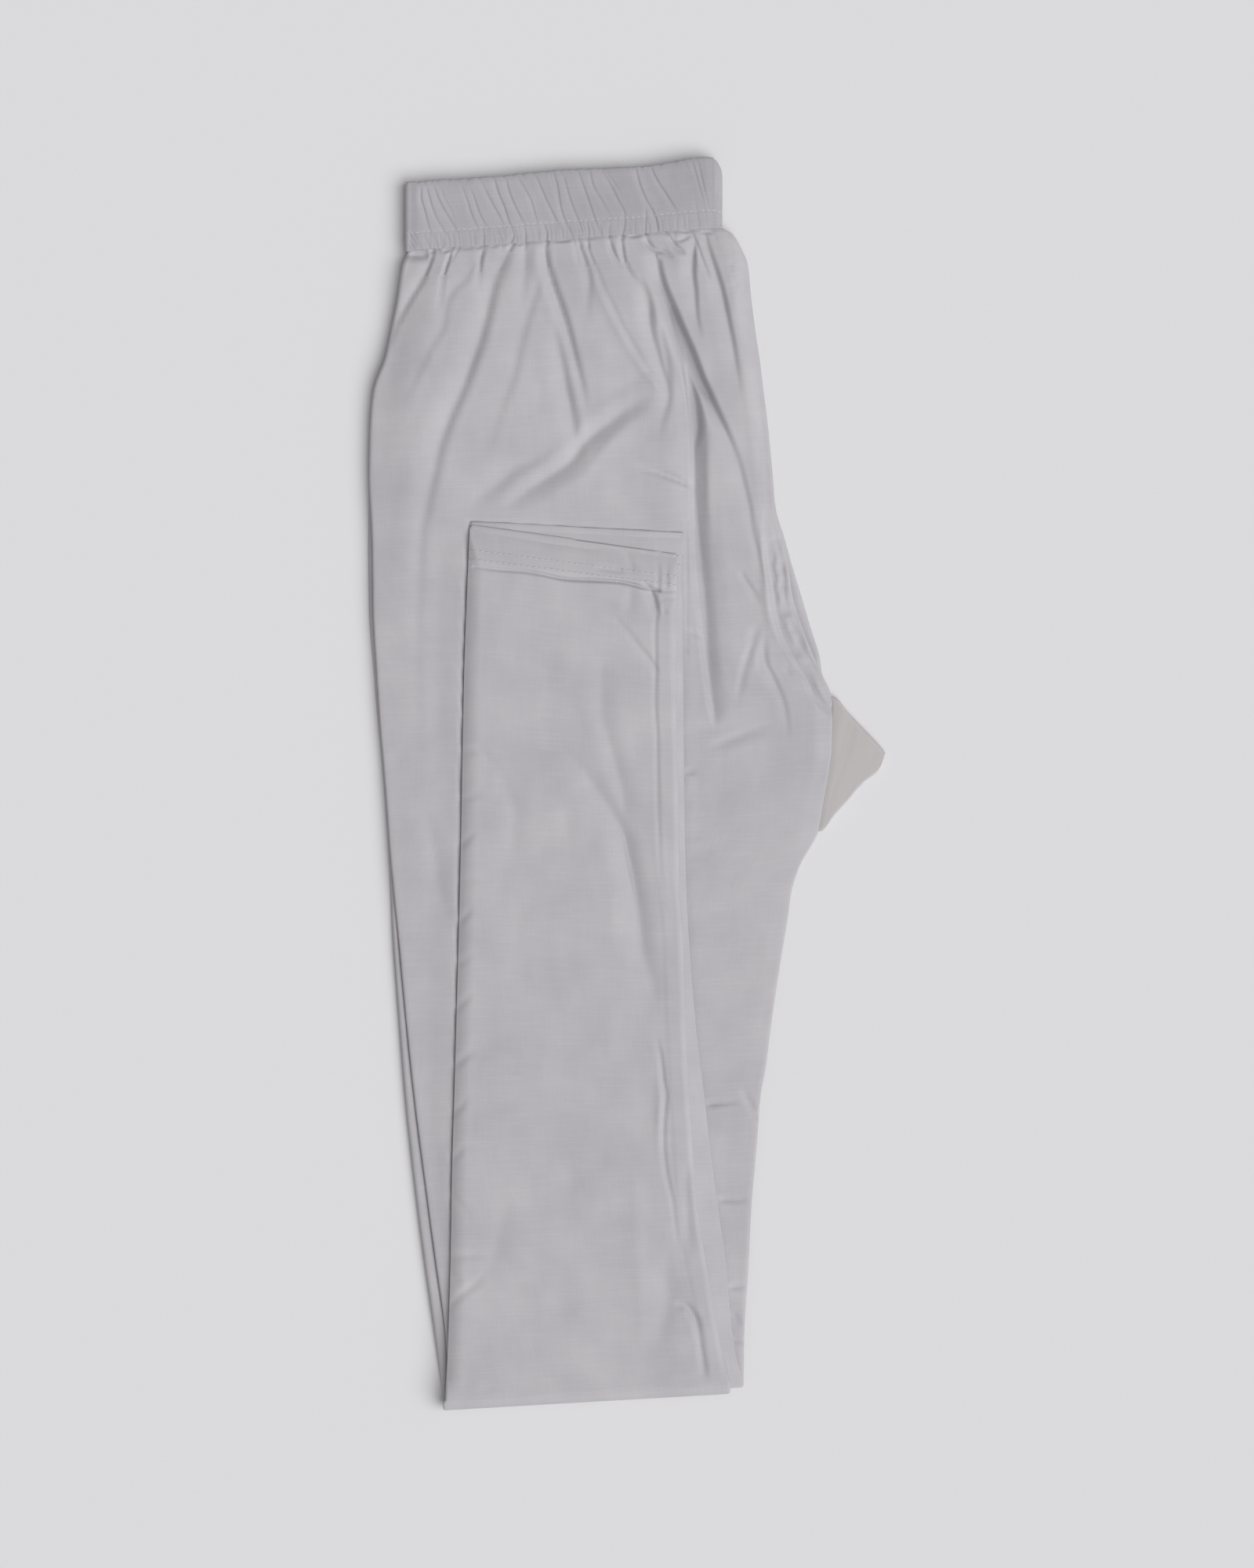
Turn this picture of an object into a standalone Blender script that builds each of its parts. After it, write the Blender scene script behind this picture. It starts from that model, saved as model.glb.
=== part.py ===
import math
from bisect import bisect_right
from collections import namedtuple

import bmesh
import bpy
from mathutils import Vector

# Pull-on cotton trousers with narrow legs, folded leg on leg and once more at the knee.
# X runs across the thighs, +Y towards the waist, +Z up from the surface that they lie on.
# Sizes and tables are in millimetres; the meshes are in metres.
MM = 0.001

# Cloth and the way it is stacked
LEG_WALL = 2.6          # front and back of one pressed leg
LAYER_GAP = 0.35        # between one leg and the next in the stack
SEAM_GAP = 0.3          # between pieces that are sewn edge to edge
BAND_WALL = 1.8         # casing and elastic
BAND_GAP = 0.4          # between the layers of the folded waistband
GUSSET_WALL = 1.1
HEM_DEPTH = 18.0
HEM_STEP = 1.6          # the hem's fold rises over this length
HEM_RAISE = 0.3         # the turned-up cloth lifts the hem by this much
HEM_MOUTH = 0.8         # height of the slit between the two layers at the hem
HEM_MOUTH_DEPTH = 22.0
SEAM_STRIP = 10.5       # width of the pressed inseam allowance
SEAM_RAISE = 0.25
SEAM_STEP = 2.0
KNEE_SETTLE = 8.0       # the relief of the lower leg starts over this length above the knee fold

# Where the leg pieces begin, fold and end: y at the outer side and y at the inseam side
Line = namedtuple("Line", "outer inner")
WAIST_SEAM = Line(271.0, 283.0)
KNEE_FOLD = Line(-313.1, -304.7)
HEM_EDGE = {"left_leg": Line(133.2, 127.6), "right_leg": Line(131.2, 116.8)}
BAND_SIDE = Line(-113.0, 48.6)
KNEE_SIDE = Line(-92.8, 52.6)

# Outer edge of both thighs, from the waist seam down to the knee fold
Edge = namedtuple("Edge", "y left_leg right_leg")
THIGH_OUTER = [
    Edge(271, -111.6, -111.4),
    Edge(264, -114.4, -114.0),
    Edge(248, -116.8, -116.4),
    Edge(232, -120.0, -119.4),
    Edge(216, -123.6, -123.0),
    Edge(208, -126.8, -126.0),
    Edge(200, -129.2, -128.4),
    Edge(184, -130.8, -130.0),
    Edge(160, -131.4, -131.6),
    Edge(120, -129.8, -131.6),
    Edge(88, -129.4, -131.2),
    Edge(56, -127.6, -128.8),
    Edge(40, -126.6, -127.6),
    Edge(0, -123.3, -124.0),
    Edge(-40, -120.3, -121.3),
    Edge(-80, -116.3, -119.2),
    Edge(-120, -112.6, -116.3),
    Edge(-160, -108.4, -113.1),
    Edge(-200, -103.3, -108.8),
    Edge(-240, -98.0, -103.8),
    Edge(-280, -92.6, -98.1),
    Edge(-320, -89.5, -92.8),
]

# Rise, gusset seam and inseam of both thighs
THIGH_INNER = [
    Edge(283, 48.4, 47.8),
    Edge(280, 53.6, 52.6),
    Edge(272, 58.4, 57.6),
    Edge(264, 61.6, 61.0),
    Edge(248, 63.2, 62.6),
    Edge(232, 65.2, 64.6),
    Edge(216, 67.6, 67.0),
    Edge(200, 69.6, 69.0),
    Edge(184, 71.6, 71.0),
    Edge(160, 74.0, 73.6),
    Edge(144, 75.2, 75.4),
    Edge(136, 76.0, 76.8),
    Edge(128, 78.2, 79.6),
    Edge(112, 82.0, 84.0),
    Edge(96, 84.4, 88.8),
    Edge(80, 89.4, 93.6),
    Edge(64, 95.6, 98.4),
    Edge(56, 99.2, 99.6),
    Edge(48, 103.0, 103.4),
    Edge(41, 105.0, 105.2),
    Edge(34, 104.8, 104.8),
    Edge(18, 104.5, 104.5),
    Edge(8, 103.3, 103.3),
    Edge(-8, 100.5, 100.5),
    Edge(-25, 97.3, 97.0),
    Edge(-32, 93.6, 93.2),
    Edge(-40, 88.8, 88.2),
    Edge(-46, 86.4, 85.8),
    Edge(-56, 83.6, 82.8),
    Edge(-67, 82.2, 81.2),
    Edge(-86, 79.0, 77.6),
    Edge(-119, 74.0, 72.4),
    Edge(-144, 70.8, 68.8),
    Edge(-160, 68.0, 66.2),
    Edge(-184, 66.2, 63.6),
    Edge(-216, 63.4, 60.6),
    Edge(-248, 61.8, 57.8),
    Edge(-280, 59.8, 55.2),
    Edge(-305, 59.4, 52.6),
]

# Both lower legs, doubled back from the knee fold up to the hem
SHANK_OUTER = [
    Edge(133, -79.8, -80.0),
    Edge(103, -80.6, -81.2),
    Edge(61, -82.0, -82.8),
    Edge(25, -82.8, -83.6),
    Edge(-40, -84.0, -84.8),
    Edge(-120, -86.0, -86.9),
    Edge(-160, -87.2, -88.0),
    Edge(-200, -88.4, -89.2),
    Edge(-240, -89.0, -89.8),
    Edge(-286, -89.2, -91.2),
    Edge(-320, -89.5, -92.8),
]
SHANK_INNER = [
    Edge(128, 28.8, 26.2),
    Edge(107, 28.2, 25.6),
    Edge(72, 28.4, 25.2),
    Edge(32, 28.8, 25.2),
    Edge(-6, 29.2, 26.2),
    Edge(-52, 30.2, 26.7),
    Edge(-82, 31.8, 28.8),
    Edge(-120, 34.8, 29.8),
    Edge(-146, 37.8, 31.2),
    Edge(-162, 39.8, 32.1),
    Edge(-186, 42.4, 33.6),
    Edge(-206, 45.2, 35.0),
    Edge(-226, 47.8, 37.6),
    Edge(-242, 50.4, 40.2),
    Edge(-260, 51.8, 43.6),
    Edge(-286, 54.4, 47.8),
    Edge(-305, 59.4, 52.6),
]

# Heights of the thighs at each distance down from the waist seam: top of the right (lower) thigh,
# top of the left thigh at its edges, and its crown where nothing presses it
Height = namedtuple("Height", "down under edge crown")
THIGH_HEIGHT = [
    Height(0, 4.00, 8.10, 8.2),
    Height(8, 4.00, 8.20, 10.0),
    Height(20, 3.95, 8.20, 11.8),
    Height(38, 3.85, 8.00, 12.4),
    Height(58, 3.65, 7.60, 11.6),
    Height(83, 3.35, 7.00, 10.2),
    Height(113, 3.05, 6.50, 8.9),
    Height(143, 2.85, 6.10, 8.0),
    Height(183, 2.70, 5.80, 7.3),
    Height(223, 2.60, 5.60, 7.0),
    Height(263, 2.60, 5.55, 6.7),
    Height(343, 2.60, 5.55, 6.2),
    Height(403, 2.60, 5.55, 5.8),
    Height(600, 2.60, 5.55, 5.55),
]
CROWN_REACH = 24.0      # the crown is reached this far in from an edge
FOLD_REACH = 4.0        # and the folds are at their full depth this far in
SEAM_SETTLE = 6.0       # the waist seam holds the folds flat over this length
SEAM_HOLD = 0.3         # to this share of their depth
PRESSED_BORDER = 1.2    # round the lower legs the thigh stays pressed over this width
PRESSED_REACH = 9.0     # and has risen to its crown this much further out
THINNEST = 1.2          # no fold leaves less cloth than this

# Height of the surface that the folded-up lower legs lie on
Bed = namedtuple("Bed", "y height")
SHANK_BED = [
    Bed(-320, 5.55),
    Bed(-120, 5.55),
    Bed(0, 6.0),
    Bed(100, 6.8),
    Bed(140, 7.0),
]

# Folds of the hip and thigh. Depth is below the crown at each point; a negative depth is a ridge
Fold = namedtuple("Fold", "width route")
Point = namedtuple("Point", "x y depth")


def fold(width, *route):
    return Fold(width, [Point(*point) for point in route])


HIP_FOLDS = [
    fold(3.2, (-98, 270, 1.4), (-103, 260, 1.6), (-108, 250, 1.2), (-112, 242, 0.8), (-117, 235, 0)),
    fold(3.0, (-88, 270, 1.2), (-92, 261, 1.4), (-95, 250, 1.0), (-97, 236, 0)),
    fold(6.0, (-75, 272, 0.4), (-85, 252, 0.8), (-94, 230, 1.0), (-104, 210, 0.8), (-116, 184, 0)),
    fold(2.6, (-73, 277, 1.4), (-74, 268, 1.5), (-75, 252, 0.9), (-74, 244, 0)),
    fold(4.0, (-58, 277, 1.8), (-62, 268, 2.4), (-67, 252, 2.6), (-73, 230, 2.4), (-80, 210, 2.2),
         (-89, 190, 2.0), (-96, 170, 1.7), (-101, 148, 1.2), (-105, 128, 0.8), (-106, 40, 0)),
    fold(5.0, (-66, 190, -0.2), (-76, 178, -0.9), (-84, 160, -0.9), (-90, 140, -0.5), (-93, 100, 0)),
    fold(6.5, (-44, 260, 0.5), (-51, 232, 0.9), (-54, 216, 0.9), (-60, 200, 0.7), (-64, 184, 0)),
    fold(3.8, (-42, 278, 2.2), (-40, 266, 2.6), (-34, 250, 2.6), (-28, 228, 2.2), (-23, 210, 1.6),
         (-21, 188, 0)),
    fold(6.0, (-33, 220, 0.4), (-30, 196, 0.8), (-26, 176, 0)),
    fold(3.0, (-26, 277, 1.5), (-20, 262, 1.6), (-20, 244, 0)),
    fold(2.8, (-17, 278, -0.6), (-10, 258, -0.9), (-2, 238, -0.9), (8, 220, -0.9), (18, 203, 0)),
    fold(2.6, (-9, 279, 1.2), (-6, 268, 1.4), (-3, 262, 0)),
    fold(3.2, (-2, 284, 1.2), (-2, 270, 1.7), (3, 260, 1.6), (9, 252, 1.2), (12, 240, 1.0),
         (15, 224, 0.9), (19, 208, 0.7), (20, 186, 0)),
    fold(2.8, (9, 281, 1.2), (12, 273, 1.4), (20, 269, 0)),
    fold(2.8, (18, 281, 1.2), (24, 273, 1.4), (31, 267, 0)),
    fold(4.4, (17, 265, 0.8), (23, 250, 2.4), (30, 232, 2.8), (36, 214, 2.8), (36, 200, 2.8),
         (37, 184, 2.7), (38, 152, 2.4), (40, 120, 2.2), (42, 92, 1.9), (44, 64, 1.5), (48, 32, 0)),
    fold(3.6, (30, 240, -0.4), (42, 214, -1.0), (50, 194, -1.0), (54, 176, -0.7), (60, 154, 0)),
    fold(2.4, (34, 276, 1.0), (35, 244, 0.9), (38, 228, 0)),
    fold(2.4, (31, 279, 1.0), (37, 268, 1.2), (43, 259, 0)),
    fold(5.0, (43, 282, 0.8), (47, 268, 1.2), (51, 250, 1.2), (54, 232, 1.0), (58, 210, 0)),
    fold(4.6, (14, 196, 0), (0, 187, 1.4), (-12, 179, 2.0), (-22, 170, 2.0), (-32, 159, 1.6),
         (-46, 150, 1.0), (-56, 143, 0)),
    fold(4.5, (12, 186, 0), (-4, 174, -0.8), (-18, 160, -0.9), (-32, 149, 0)),
    fold(5.5, (-44, 166, 0.3), (-64, 154, 0.7), (-78, 146, 0)),
    fold(3.6, (0, 167, 0), (10, 160, 0.9), (22, 156, 0.9), (35, 151, 0)),
    fold(3.2, (66, 138, 0), (68, 124, -0.9), (71, 100, -1.1), (75, 80, -0.8), (79, 70, 0)),
    fold(3.4, (70, 138, 0), (73, 120, 1.1), (76, 100, 1.2), (79, 82, 1.2), (83, 68, 1.0),
         (88, 57, 0.9), (96, 44, 0.9), (104, 34, 0)),
    fold(3.4, (66, 78, 0), (61, 62, 1.0), (56, 46, 0)),
    fold(3.4, (69, 74, 0), (74, 55, 1.0), (80, 40, 0.9), (83, 22, 0)),
    fold(5.0, (44, 20, 0), (50, 20, 0.6), (58, 25, 0.6), (66, 28, 0)),
    fold(4.0, (-106, -6, 0), (-101, -22, 0.5), (-96, -45, 0.5), (-91, -72, 0)),
    fold(3.4, (38, -163, 0.8), (46, -163, 0.9), (54, -162, 0)),
    fold(3.0, (62, -160, 0), (66, -169, 0.8), (70, -174, 0.6)),
]

# Folds of the lower leg that lies on top
SHANK_FOLDS = [
    fold(4.4, (-34, 19, 0), (-22, 6, 0.6), (-12, -8, 1.0), (-4, -22, 1.2), (1, -42, 1.3),
         (4, -60, 1.3), (8, -78, 1.0), (10, -94, 0)),
    fold(5.0, (-60, 26, 0), (-46, 17, 0.4), (-34, 12, 0)),
    fold(4.0, (-13, 40, 0), (-10, 24, 0.5), (-6, 8, 0.6), (-2, -6, 0)),
    fold(5.0, (9, -36, 0), (14, -58, -0.4), (17, -78, 0)),
    fold(3.2, (-2, 80, 0), (8, 65, 0.7), (15, 59, 0)),
    fold(4.0, (10, 100, 0.6), (14, 92, 0.9), (16, 84, 0)),
    fold(3.0, (17, -138, 0), (19, -158, 1.0), (18, -182, 1.0), (20, -198, 0.7), (26, -233, 0)),
    fold(4.0, (31, -194, 0), (30, -216, 0.5), (32, -238, 0)),
    fold(4.0, (-84, 16, 0.7), (-76, 16, 0.7), (-64, 7, 0)),
    fold(4.0, (-84, -8, 0.8), (-73, -5, 0)),
    fold(4.0, (-85, -49, 0.6), (-72, -49, 0)),
    fold(4.0, (-85, -88, 0.8), (-78, -86, 0)),
    fold(4.0, (-87, -112, 0.8), (-79, -107, 0)),
    fold(4.0, (-88, -142, 0.8), (-78, -137, 0)),
    fold(4.0, (-88, -166, 0.8), (-81, -160, 0)),
    fold(4.4, (-89, -188, 0.9), (-80, -185, 0.6), (-64, -186, 0)),
    fold(4.0, (-88, -210, 0.6), (-80, -219, 0)),
    fold(5.0, (-86, -240, 0.4), (-66, -239, 0.7), (-50, -246, 0)),
    fold(4.0, (-90, -264, 0.8), (-80, -256, 0.7), (-72, -248, 0)),
    fold(6.0, (-40, -192, 0), (-34, -208, 0.5), (-32, -226, 0)),
    fold(3.4, (24, -264, 0.3), (33, -266, 0.8), (36, -273, 0.7), (39, -296, 0)),
]

# Gathers of the elastic waistband: where each trough runs at the top edge and at the seam
Gather = namedtuple("Gather", "top seam depth")
GATHERS = [
    Gather(-105.6, -100.2, 0.9),
    Gather(-101.8, -93.4, 0.9),
    Gather(-97.6, -86.8, 1.0),
    Gather(-92.4, -81.8, 0.5),
    Gather(-84.8, -76.4, 0.9),
    Gather(-79.6, -70.8, 0.9),
    Gather(-74.0, -63.8, 1.0),
    Gather(-67.6, -58.4, 1.2),
    Gather(-62.0, -52.0, 0.9),
    Gather(-55.6, -45.6, 0.9),
    Gather(-46.4, -35.2, 0.9),
    Gather(-38.0, -29.2, 0.9),
    Gather(-32.0, -22.8, 0.8),
    Gather(-25.6, -15.2, 1.0),
    Gather(-21.2, -8.8, 0.9),
    Gather(-12.4, 0.8, 0.9),
    Gather(-4.0, 7.2, 0.5),
    Gather(5.2, 14.8, 1.2),
    Gather(13.6, 27.0, 1.2),
    Gather(23.2, 33.2, 0.4),
    Gather(31.6, 38.0, 0.6),
    Gather(35.6, 41.6, 0.6),
]
GATHER_STEPS = 4        # columns from one trough to the next
GATHER_RISE = 0.9       # the crests stand this far above the pressed casing
EDGE_GATHER = 0.3       # depth of the half gather at each side

# Top edge of the waistband
Rim = namedtuple("Rim", "x y")
BAND_TOP = [
    Rim(-113, 306.2),
    Rim(-100, 307.2),
    Rim(-68, 309.2),
    Rim(-36, 312.4),
    Rim(-20, 313.2),
    Rim(-4, 313.6),
    Rim(12, 314.8),
    Rim(20, 316.0),
    Rim(28, 317.6),
    Rim(36, 318.8),
    Rim(43, 318.8),
    Rim(46, 316.5),
    Rim(49, 311.0),
]

# Rows of the waistband from the seam (0) to the top edge (1): how full the wall and the gathers are,
# and whether the plain inside has a row there
BandRow = namedtuple("BandRow", "at wall gathers inside")
BAND_ROWS = [
    BandRow(0.0, 0.75, 0.45, True),
    BandRow(0.08, 1.0, 0.9, False),
    BandRow(0.24, 0.85, 0.35, False),
    BandRow(0.36, 1.0, 0.9, False),
    BandRow(0.6, 1.0, 1.0, True),
    BandRow(0.84, 1.0, 0.8, False),
    BandRow(0.95, 0.8, 0.5, False),
    BandRow(1.0, 0.4, 0.2, True),
]

# Gusset: both ends of each section, on its back edge and its inseam edge, from the seam to the tip,
# and how much of the leg seam's curve the section keeps
Diamond = namedtuple("Diamond", "back_x back_y inseam_x inseam_y curved")
GUSSET = [
    Diamond(105.4, 40.4, 97.8, -24.6, 1.0),
    Diamond(109.2, 41.6, 100.4, -23.2, 0.8),
    Diamond(112.0, 38.0, 105.6, -16.0, 0.5),
    Diamond(117.2, 32.0, 112.8, -8.0, 0.2),
    Diamond(124.8, 24.0, 119.6, 0.0, 0.0),
    Diamond(130.4, 17.8, 127.6, 6.4, 0.0),
    Diamond(131.6, 16.0, 129.6, 9.6, 0.0),
]

# Rows of a thigh and of a lower leg: from, to, steps, and the columns of its seen and hidden sides
Span = namedtuple("Span", "start end steps seen hidden")
LEFT_THIGH = [
    Span(0, 24, 5, 38, 8),
    Span(24, 208, 21, 38, 8),
    Span(208, 328, 11, 28, 8),
    Span(328, 586, 10, 14, 8),
]
RIGHT_THIGH = [
    Span(0, 24, 3, 8, 8),
    Span(24, 200, 9, 8, 8),
    Span(200, 328, 12, 8, 8),
    Span(328, 586, 9, 8, 8),
]
LEFT_SHANK = [
    Span(0, 400, 16, 8, 8),
    Span(400, 440, 4, 8, 8),
]
RIGHT_SHANK = [
    Span(0, 400, 32, 20, 8),
    Span(400, 421, 2, 20, 8),
    Span(421, 423, 1, 20, 8),
    Span(423, 440, 2, 20, 8),
]
KNEE_STEPS = 8          # round each knee fold
EDGE_STEPS = 4          # round each pressed side edge
TURN_STEPS = 5          # round each fold of the waistband and the gusset

CLOTH_COLOUR = (0.52, 0.51, 0.54, 1.0)
GUSSET_COLOUR = (0.56, 0.53, 0.54, 1.0)


def mix(a, b, t):
    return a + (b - a) * t


def ease(t):
    t = min(max(t, 0.0), 1.0)
    return t * t * (3 - 2 * t)


def curve(table, column, key="y"):
    # a smooth curve through one column of a table, which never overshoots its rows
    rows = sorted(table, key=lambda row: getattr(row, key))
    places = [getattr(row, key) for row in rows]
    values = [getattr(row, column) for row in rows]
    rises = [(values[i + 1] - values[i]) / (places[i + 1] - places[i]) for i in range(len(rows) - 1)]
    slopes = [rises[0]]
    for before, after in zip(rises, rises[1:]):
        slopes.append(0.0 if before * after <= 0 else 2 * before * after / (before + after))
    slopes.append(rises[-1])

    def value_at(place):
        place = min(max(place, places[0]), places[-1])
        i = min(bisect_right(places, place) - 1, len(places) - 2)
        step = places[i + 1] - places[i]
        t = (place - places[i]) / step
        start = (1 + 2 * t) * (1 - t) ** 2 * values[i] + t * (1 - t) ** 2 * step * slopes[i]
        end = t * t * (3 - 2 * t) * values[i + 1] + t * t * (t - 1) * step * slopes[i + 1]
        return start + end

    return value_at


def fold_depth(folds, x, y):
    # how far the cloth lies below its crown at x, y, from every fold that runs near
    total = 0.0
    for row in folds:
        nearest = 3 * row.width
        depth = 0.0
        for a, b in zip(row.route, row.route[1:]):
            run_x, run_y = b.x - a.x, b.y - a.y
            t = ((x - a.x) * run_x + (y - a.y) * run_y) / (run_x ** 2 + run_y ** 2)
            t = min(max(t, 0.0), 1.0)
            distance = math.hypot(x - a.x - t * run_x, y - a.y - t * run_y)
            if distance < nearest:
                nearest = distance
                depth = mix(a.depth, b.depth, t)
        total += depth * math.exp(-(nearest / row.width) ** 2)
    return total


def zip_chains(bm, first, second):
    # closes the strip between two chains of (place, vertex) that need not have the same count
    i = j = 0
    while i < len(first) - 1 or j < len(second) - 1:
        at_end = j == len(second) - 1
        if at_end or (i < len(first) - 1 and first[i + 1][0] <= second[j + 1][0]):
            corners = [first[i][1], first[i + 1][1], second[j][1]]
            i += 1
        else:
            corners = [first[i][1], second[j + 1][1], second[j][1]]
            j += 1
        if len(set(corners)) == 3:
            bm.faces.new(corners)


def zip_rings(bm, first, second):
    zip_chains(bm, first + [(1.0, first[0][1])], second + [(1.0, second[0][1])])


def add_ring(bm, points):
    return [(place, bm.verts.new(Vector(point) * MM)) for place, point in points]


def close_ring(bm, ring):
    # caps a flat leg section: its inner side is sewn to its outer side from left to right
    by_x = sorted(range(len(ring)), key=lambda i: ring[i][1].co.x)
    left, right = by_x[0], by_x[-1]
    ring = ring[left:] + ring[:left]
    right = (right - left) % len(ring)
    one_side = ring[:right + 1]
    other_side = [ring[0]] + ring[:right - 1:-1]
    zip_chains(bm, *([(vertex.co.x, vertex) for _, vertex in side] for side in (one_side, other_side)))


def add_object(name, bm, colour, collection):
    bmesh.ops.recalc_face_normals(bm, faces=bm.faces)
    mesh = bpy.data.meshes.new(name)
    bm.to_mesh(mesh)
    bm.free()
    piece = bpy.data.objects.new(name, mesh)
    collection.objects.link(piece)
    material = bpy.data.materials.new(name + "_cotton")
    material.use_nodes = True
    shader = material.node_tree.nodes["Principled BSDF"]
    shader.inputs["Base Color"].default_value = colour
    shader.inputs["Roughness"].default_value = 0.85
    shader.inputs["Metallic"].default_value = 0.0
    mesh.materials.append(material)
    return piece


def leg_section(left, right, inner, outer, inner_columns, outer_columns):
    # points (place, x, offset) round a flattened leg: the side within the knee fold from left to
    # right, the right edge, the side outside the fold from right to left, and the left edge
    half = (inner(left) - outer(left)) / 2
    low, high = left + half, right - half
    points = []
    for column in range(inner_columns):
        t = column / inner_columns
        x = mix(low, high, t)
        points.append((0.4 * t, x, inner(x)))
    for side, start in ((1, 0.4), (-1, 0.9)):
        centre = high if side > 0 else low
        mid = (inner(centre) + outer(centre)) / 2
        reach = (inner(centre) - outer(centre)) / 2
        for step in range(EDGE_STEPS):
            angle = math.pi * step / EDGE_STEPS
            x = centre + side * half * math.sin(angle)
            points.append((start + 0.1 * step / EDGE_STEPS, x, mid + side * reach * math.cos(angle)))
        if side > 0:
            for column in range(outer_columns):
                t = column / outer_columns
                x = mix(high, low, t)
                points.append((0.5 + 0.4 * t, x, outer(x)))
    return points


class Leg:
    def __init__(self, name):
        self.name = name
        self.is_left = name == "left_leg"
        self.thigh_outer = curve(THIGH_OUTER, name)
        self.thigh_inner = curve(THIGH_INNER, name)
        self.shank_outer = curve(SHANK_OUTER, name)
        self.shank_inner = curve(SHANK_INNER, name)
        self.knee = Line(self.thigh_outer(KNEE_FOLD.outer), self.thigh_inner(KNEE_FOLD.inner))
        self.hem = HEM_EDGE[name]
        self.shank_above_bed = LAYER_GAP + (0 if self.is_left else LEG_WALL + LAYER_GAP)
        self.thigh_floor = LEG_WALL + LAYER_GAP if self.is_left else 0.0


under_at = curve(THIGH_HEIGHT, "under", "down")
edge_at = curve(THIGH_HEIGHT, "edge", "down")
crown_at = curve(THIGH_HEIGHT, "crown", "down")
bed_at = curve(SHANK_BED, "height")
band_top_at = curve(BAND_TOP, "y", "x")
THIGH_LENGTH = LEFT_THIGH[-1].end
SHANK_LENGTH = LEFT_SHANK[-1].end
KNEE_CENTRE = bed_at(KNEE_FOLD.outer) + LAYER_GAP / 2


def seam_y(x):
    t = (x - BAND_SIDE.outer) / (BAND_SIDE.inner - BAND_SIDE.outer)
    return mix(WAIST_SEAM.outer, WAIST_SEAM.inner, t)


def knee_y(x):
    t = (x - KNEE_SIDE.outer) / (KNEE_SIDE.inner - KNEE_SIDE.outer)
    return mix(KNEE_FOLD.outer, KNEE_FOLD.inner, t)


def from_shank(left_leg, x, y):
    # distance outside the footprint of the lower legs that lie on the thigh
    across = (x - left_leg.shank_outer(y)) / (left_leg.shank_inner(y) - left_leg.shank_outer(y))
    hem = mix(left_leg.hem.outer, left_leg.hem.inner, across)
    return max(left_leg.shank_outer(y) - x, x - left_leg.shank_inner(y), y - hem)


def left_thigh_top(leg, x, y, down, from_edge):
    crown = mix(edge_at(down), crown_at(down), ease(from_edge / CROWN_REACH))
    held = mix(SEAM_HOLD, 1.0, ease(down / SEAM_SETTLE)) * ease(from_edge / FOLD_REACH)
    free = crown - fold_depth(HIP_FOLDS, x, y) * held
    loose = ease((from_shank(leg, x, y) - PRESSED_BORDER) / PRESSED_REACH)
    floor = under_at(down) + LAYER_GAP
    return max(mix(bed_at(y), free, loose), floor + THINNEST)


def thigh_ring(leg, down, seen, hidden):
    t = down / THIGH_LENGTH
    y_left = mix(WAIST_SEAM.outer - SEAM_GAP, knee_y(leg.knee.outer), t)
    y_right = mix(WAIST_SEAM.inner - SEAM_GAP, knee_y(leg.knee.inner), t)
    left, right = leg.thigh_outer(y_left), leg.thigh_inner(y_right)
    floor = under_at(down) + LAYER_GAP if leg.is_left else 0.0

    def line_y(x):
        return mix(y_left, y_right, (x - left) / (right - left))

    def top(x):
        if not leg.is_left:
            return under_at(down)
        return left_thigh_top(leg, x, line_y(x), down, min(x - left, right - x))

    section = leg_section(left, right, top, lambda x: floor, seen, hidden)
    return [(place, (x, line_y(x), z)) for place, x, z in section]


def knee_ring(leg, turn, seen, hidden):
    # section at an angle round the knee fold, whose axis lies in the middle of the stack
    radius = KNEE_CENTRE - leg.thigh_floor - LEG_WALL / 2
    half = LEG_WALL / 2
    section = leg_section(leg.knee.outer, leg.knee.inner, lambda x: half, lambda x: -half, seen, hidden)
    ring = []
    for place, x, offset in section:
        reach = radius - offset
        ring.append((place, (x, knee_y(x) - reach * math.sin(turn), KNEE_CENTRE - reach * math.cos(turn))))
    return ring


def shank_relief(x, y, to_hem, to_inseam):
    # how far the seen side of the upper lower leg stands above the plain pressed leg
    hem = HEM_RAISE * ease((HEM_DEPTH - to_hem) / HEM_STEP + 0.5)
    seam = SEAM_RAISE * ease((SEAM_STRIP - to_inseam) / SEAM_STEP)
    return hem + seam - fold_depth(SHANK_FOLDS, x, y)


def shank_ring(leg, up, seen, hidden, mouth=False):
    t = min(up / SHANK_LENGTH, 1.0)
    y_left = mix(knee_y(leg.knee.outer), leg.hem.outer, t)
    y_right = mix(knee_y(leg.knee.inner), leg.hem.inner, t)
    left, right = leg.shank_outer(y_left), leg.shank_inner(y_right)

    def line_y(x):
        return mix(y_left, y_right, (x - left) / (right - left))

    def outer(x):
        if leg.is_left:
            return -LEG_WALL / 2
        relief = shank_relief(x, line_y(x), SHANK_LENGTH - up, right - x)
        return -LEG_WALL / 2 - relief * ease(up / KNEE_SETTLE)

    if mouth:
        inset = LEG_WALL / 2 - HEM_MOUTH / 2
        half = HEM_MOUTH / 2
        section = leg_section(left + inset, right - inset, lambda x: half, lambda x: -half, seen, hidden)
    else:
        section = leg_section(left, right, lambda x: LEG_WALL / 2, outer, hidden, seen)
    ring = []
    for place, x, offset in section:
        y = line_y(x)
        middle = bed_at(y) + leg.shank_above_bed + LEG_WALL / 2
        ring.append((place, (x, y, middle - offset)))
    return ring


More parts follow.
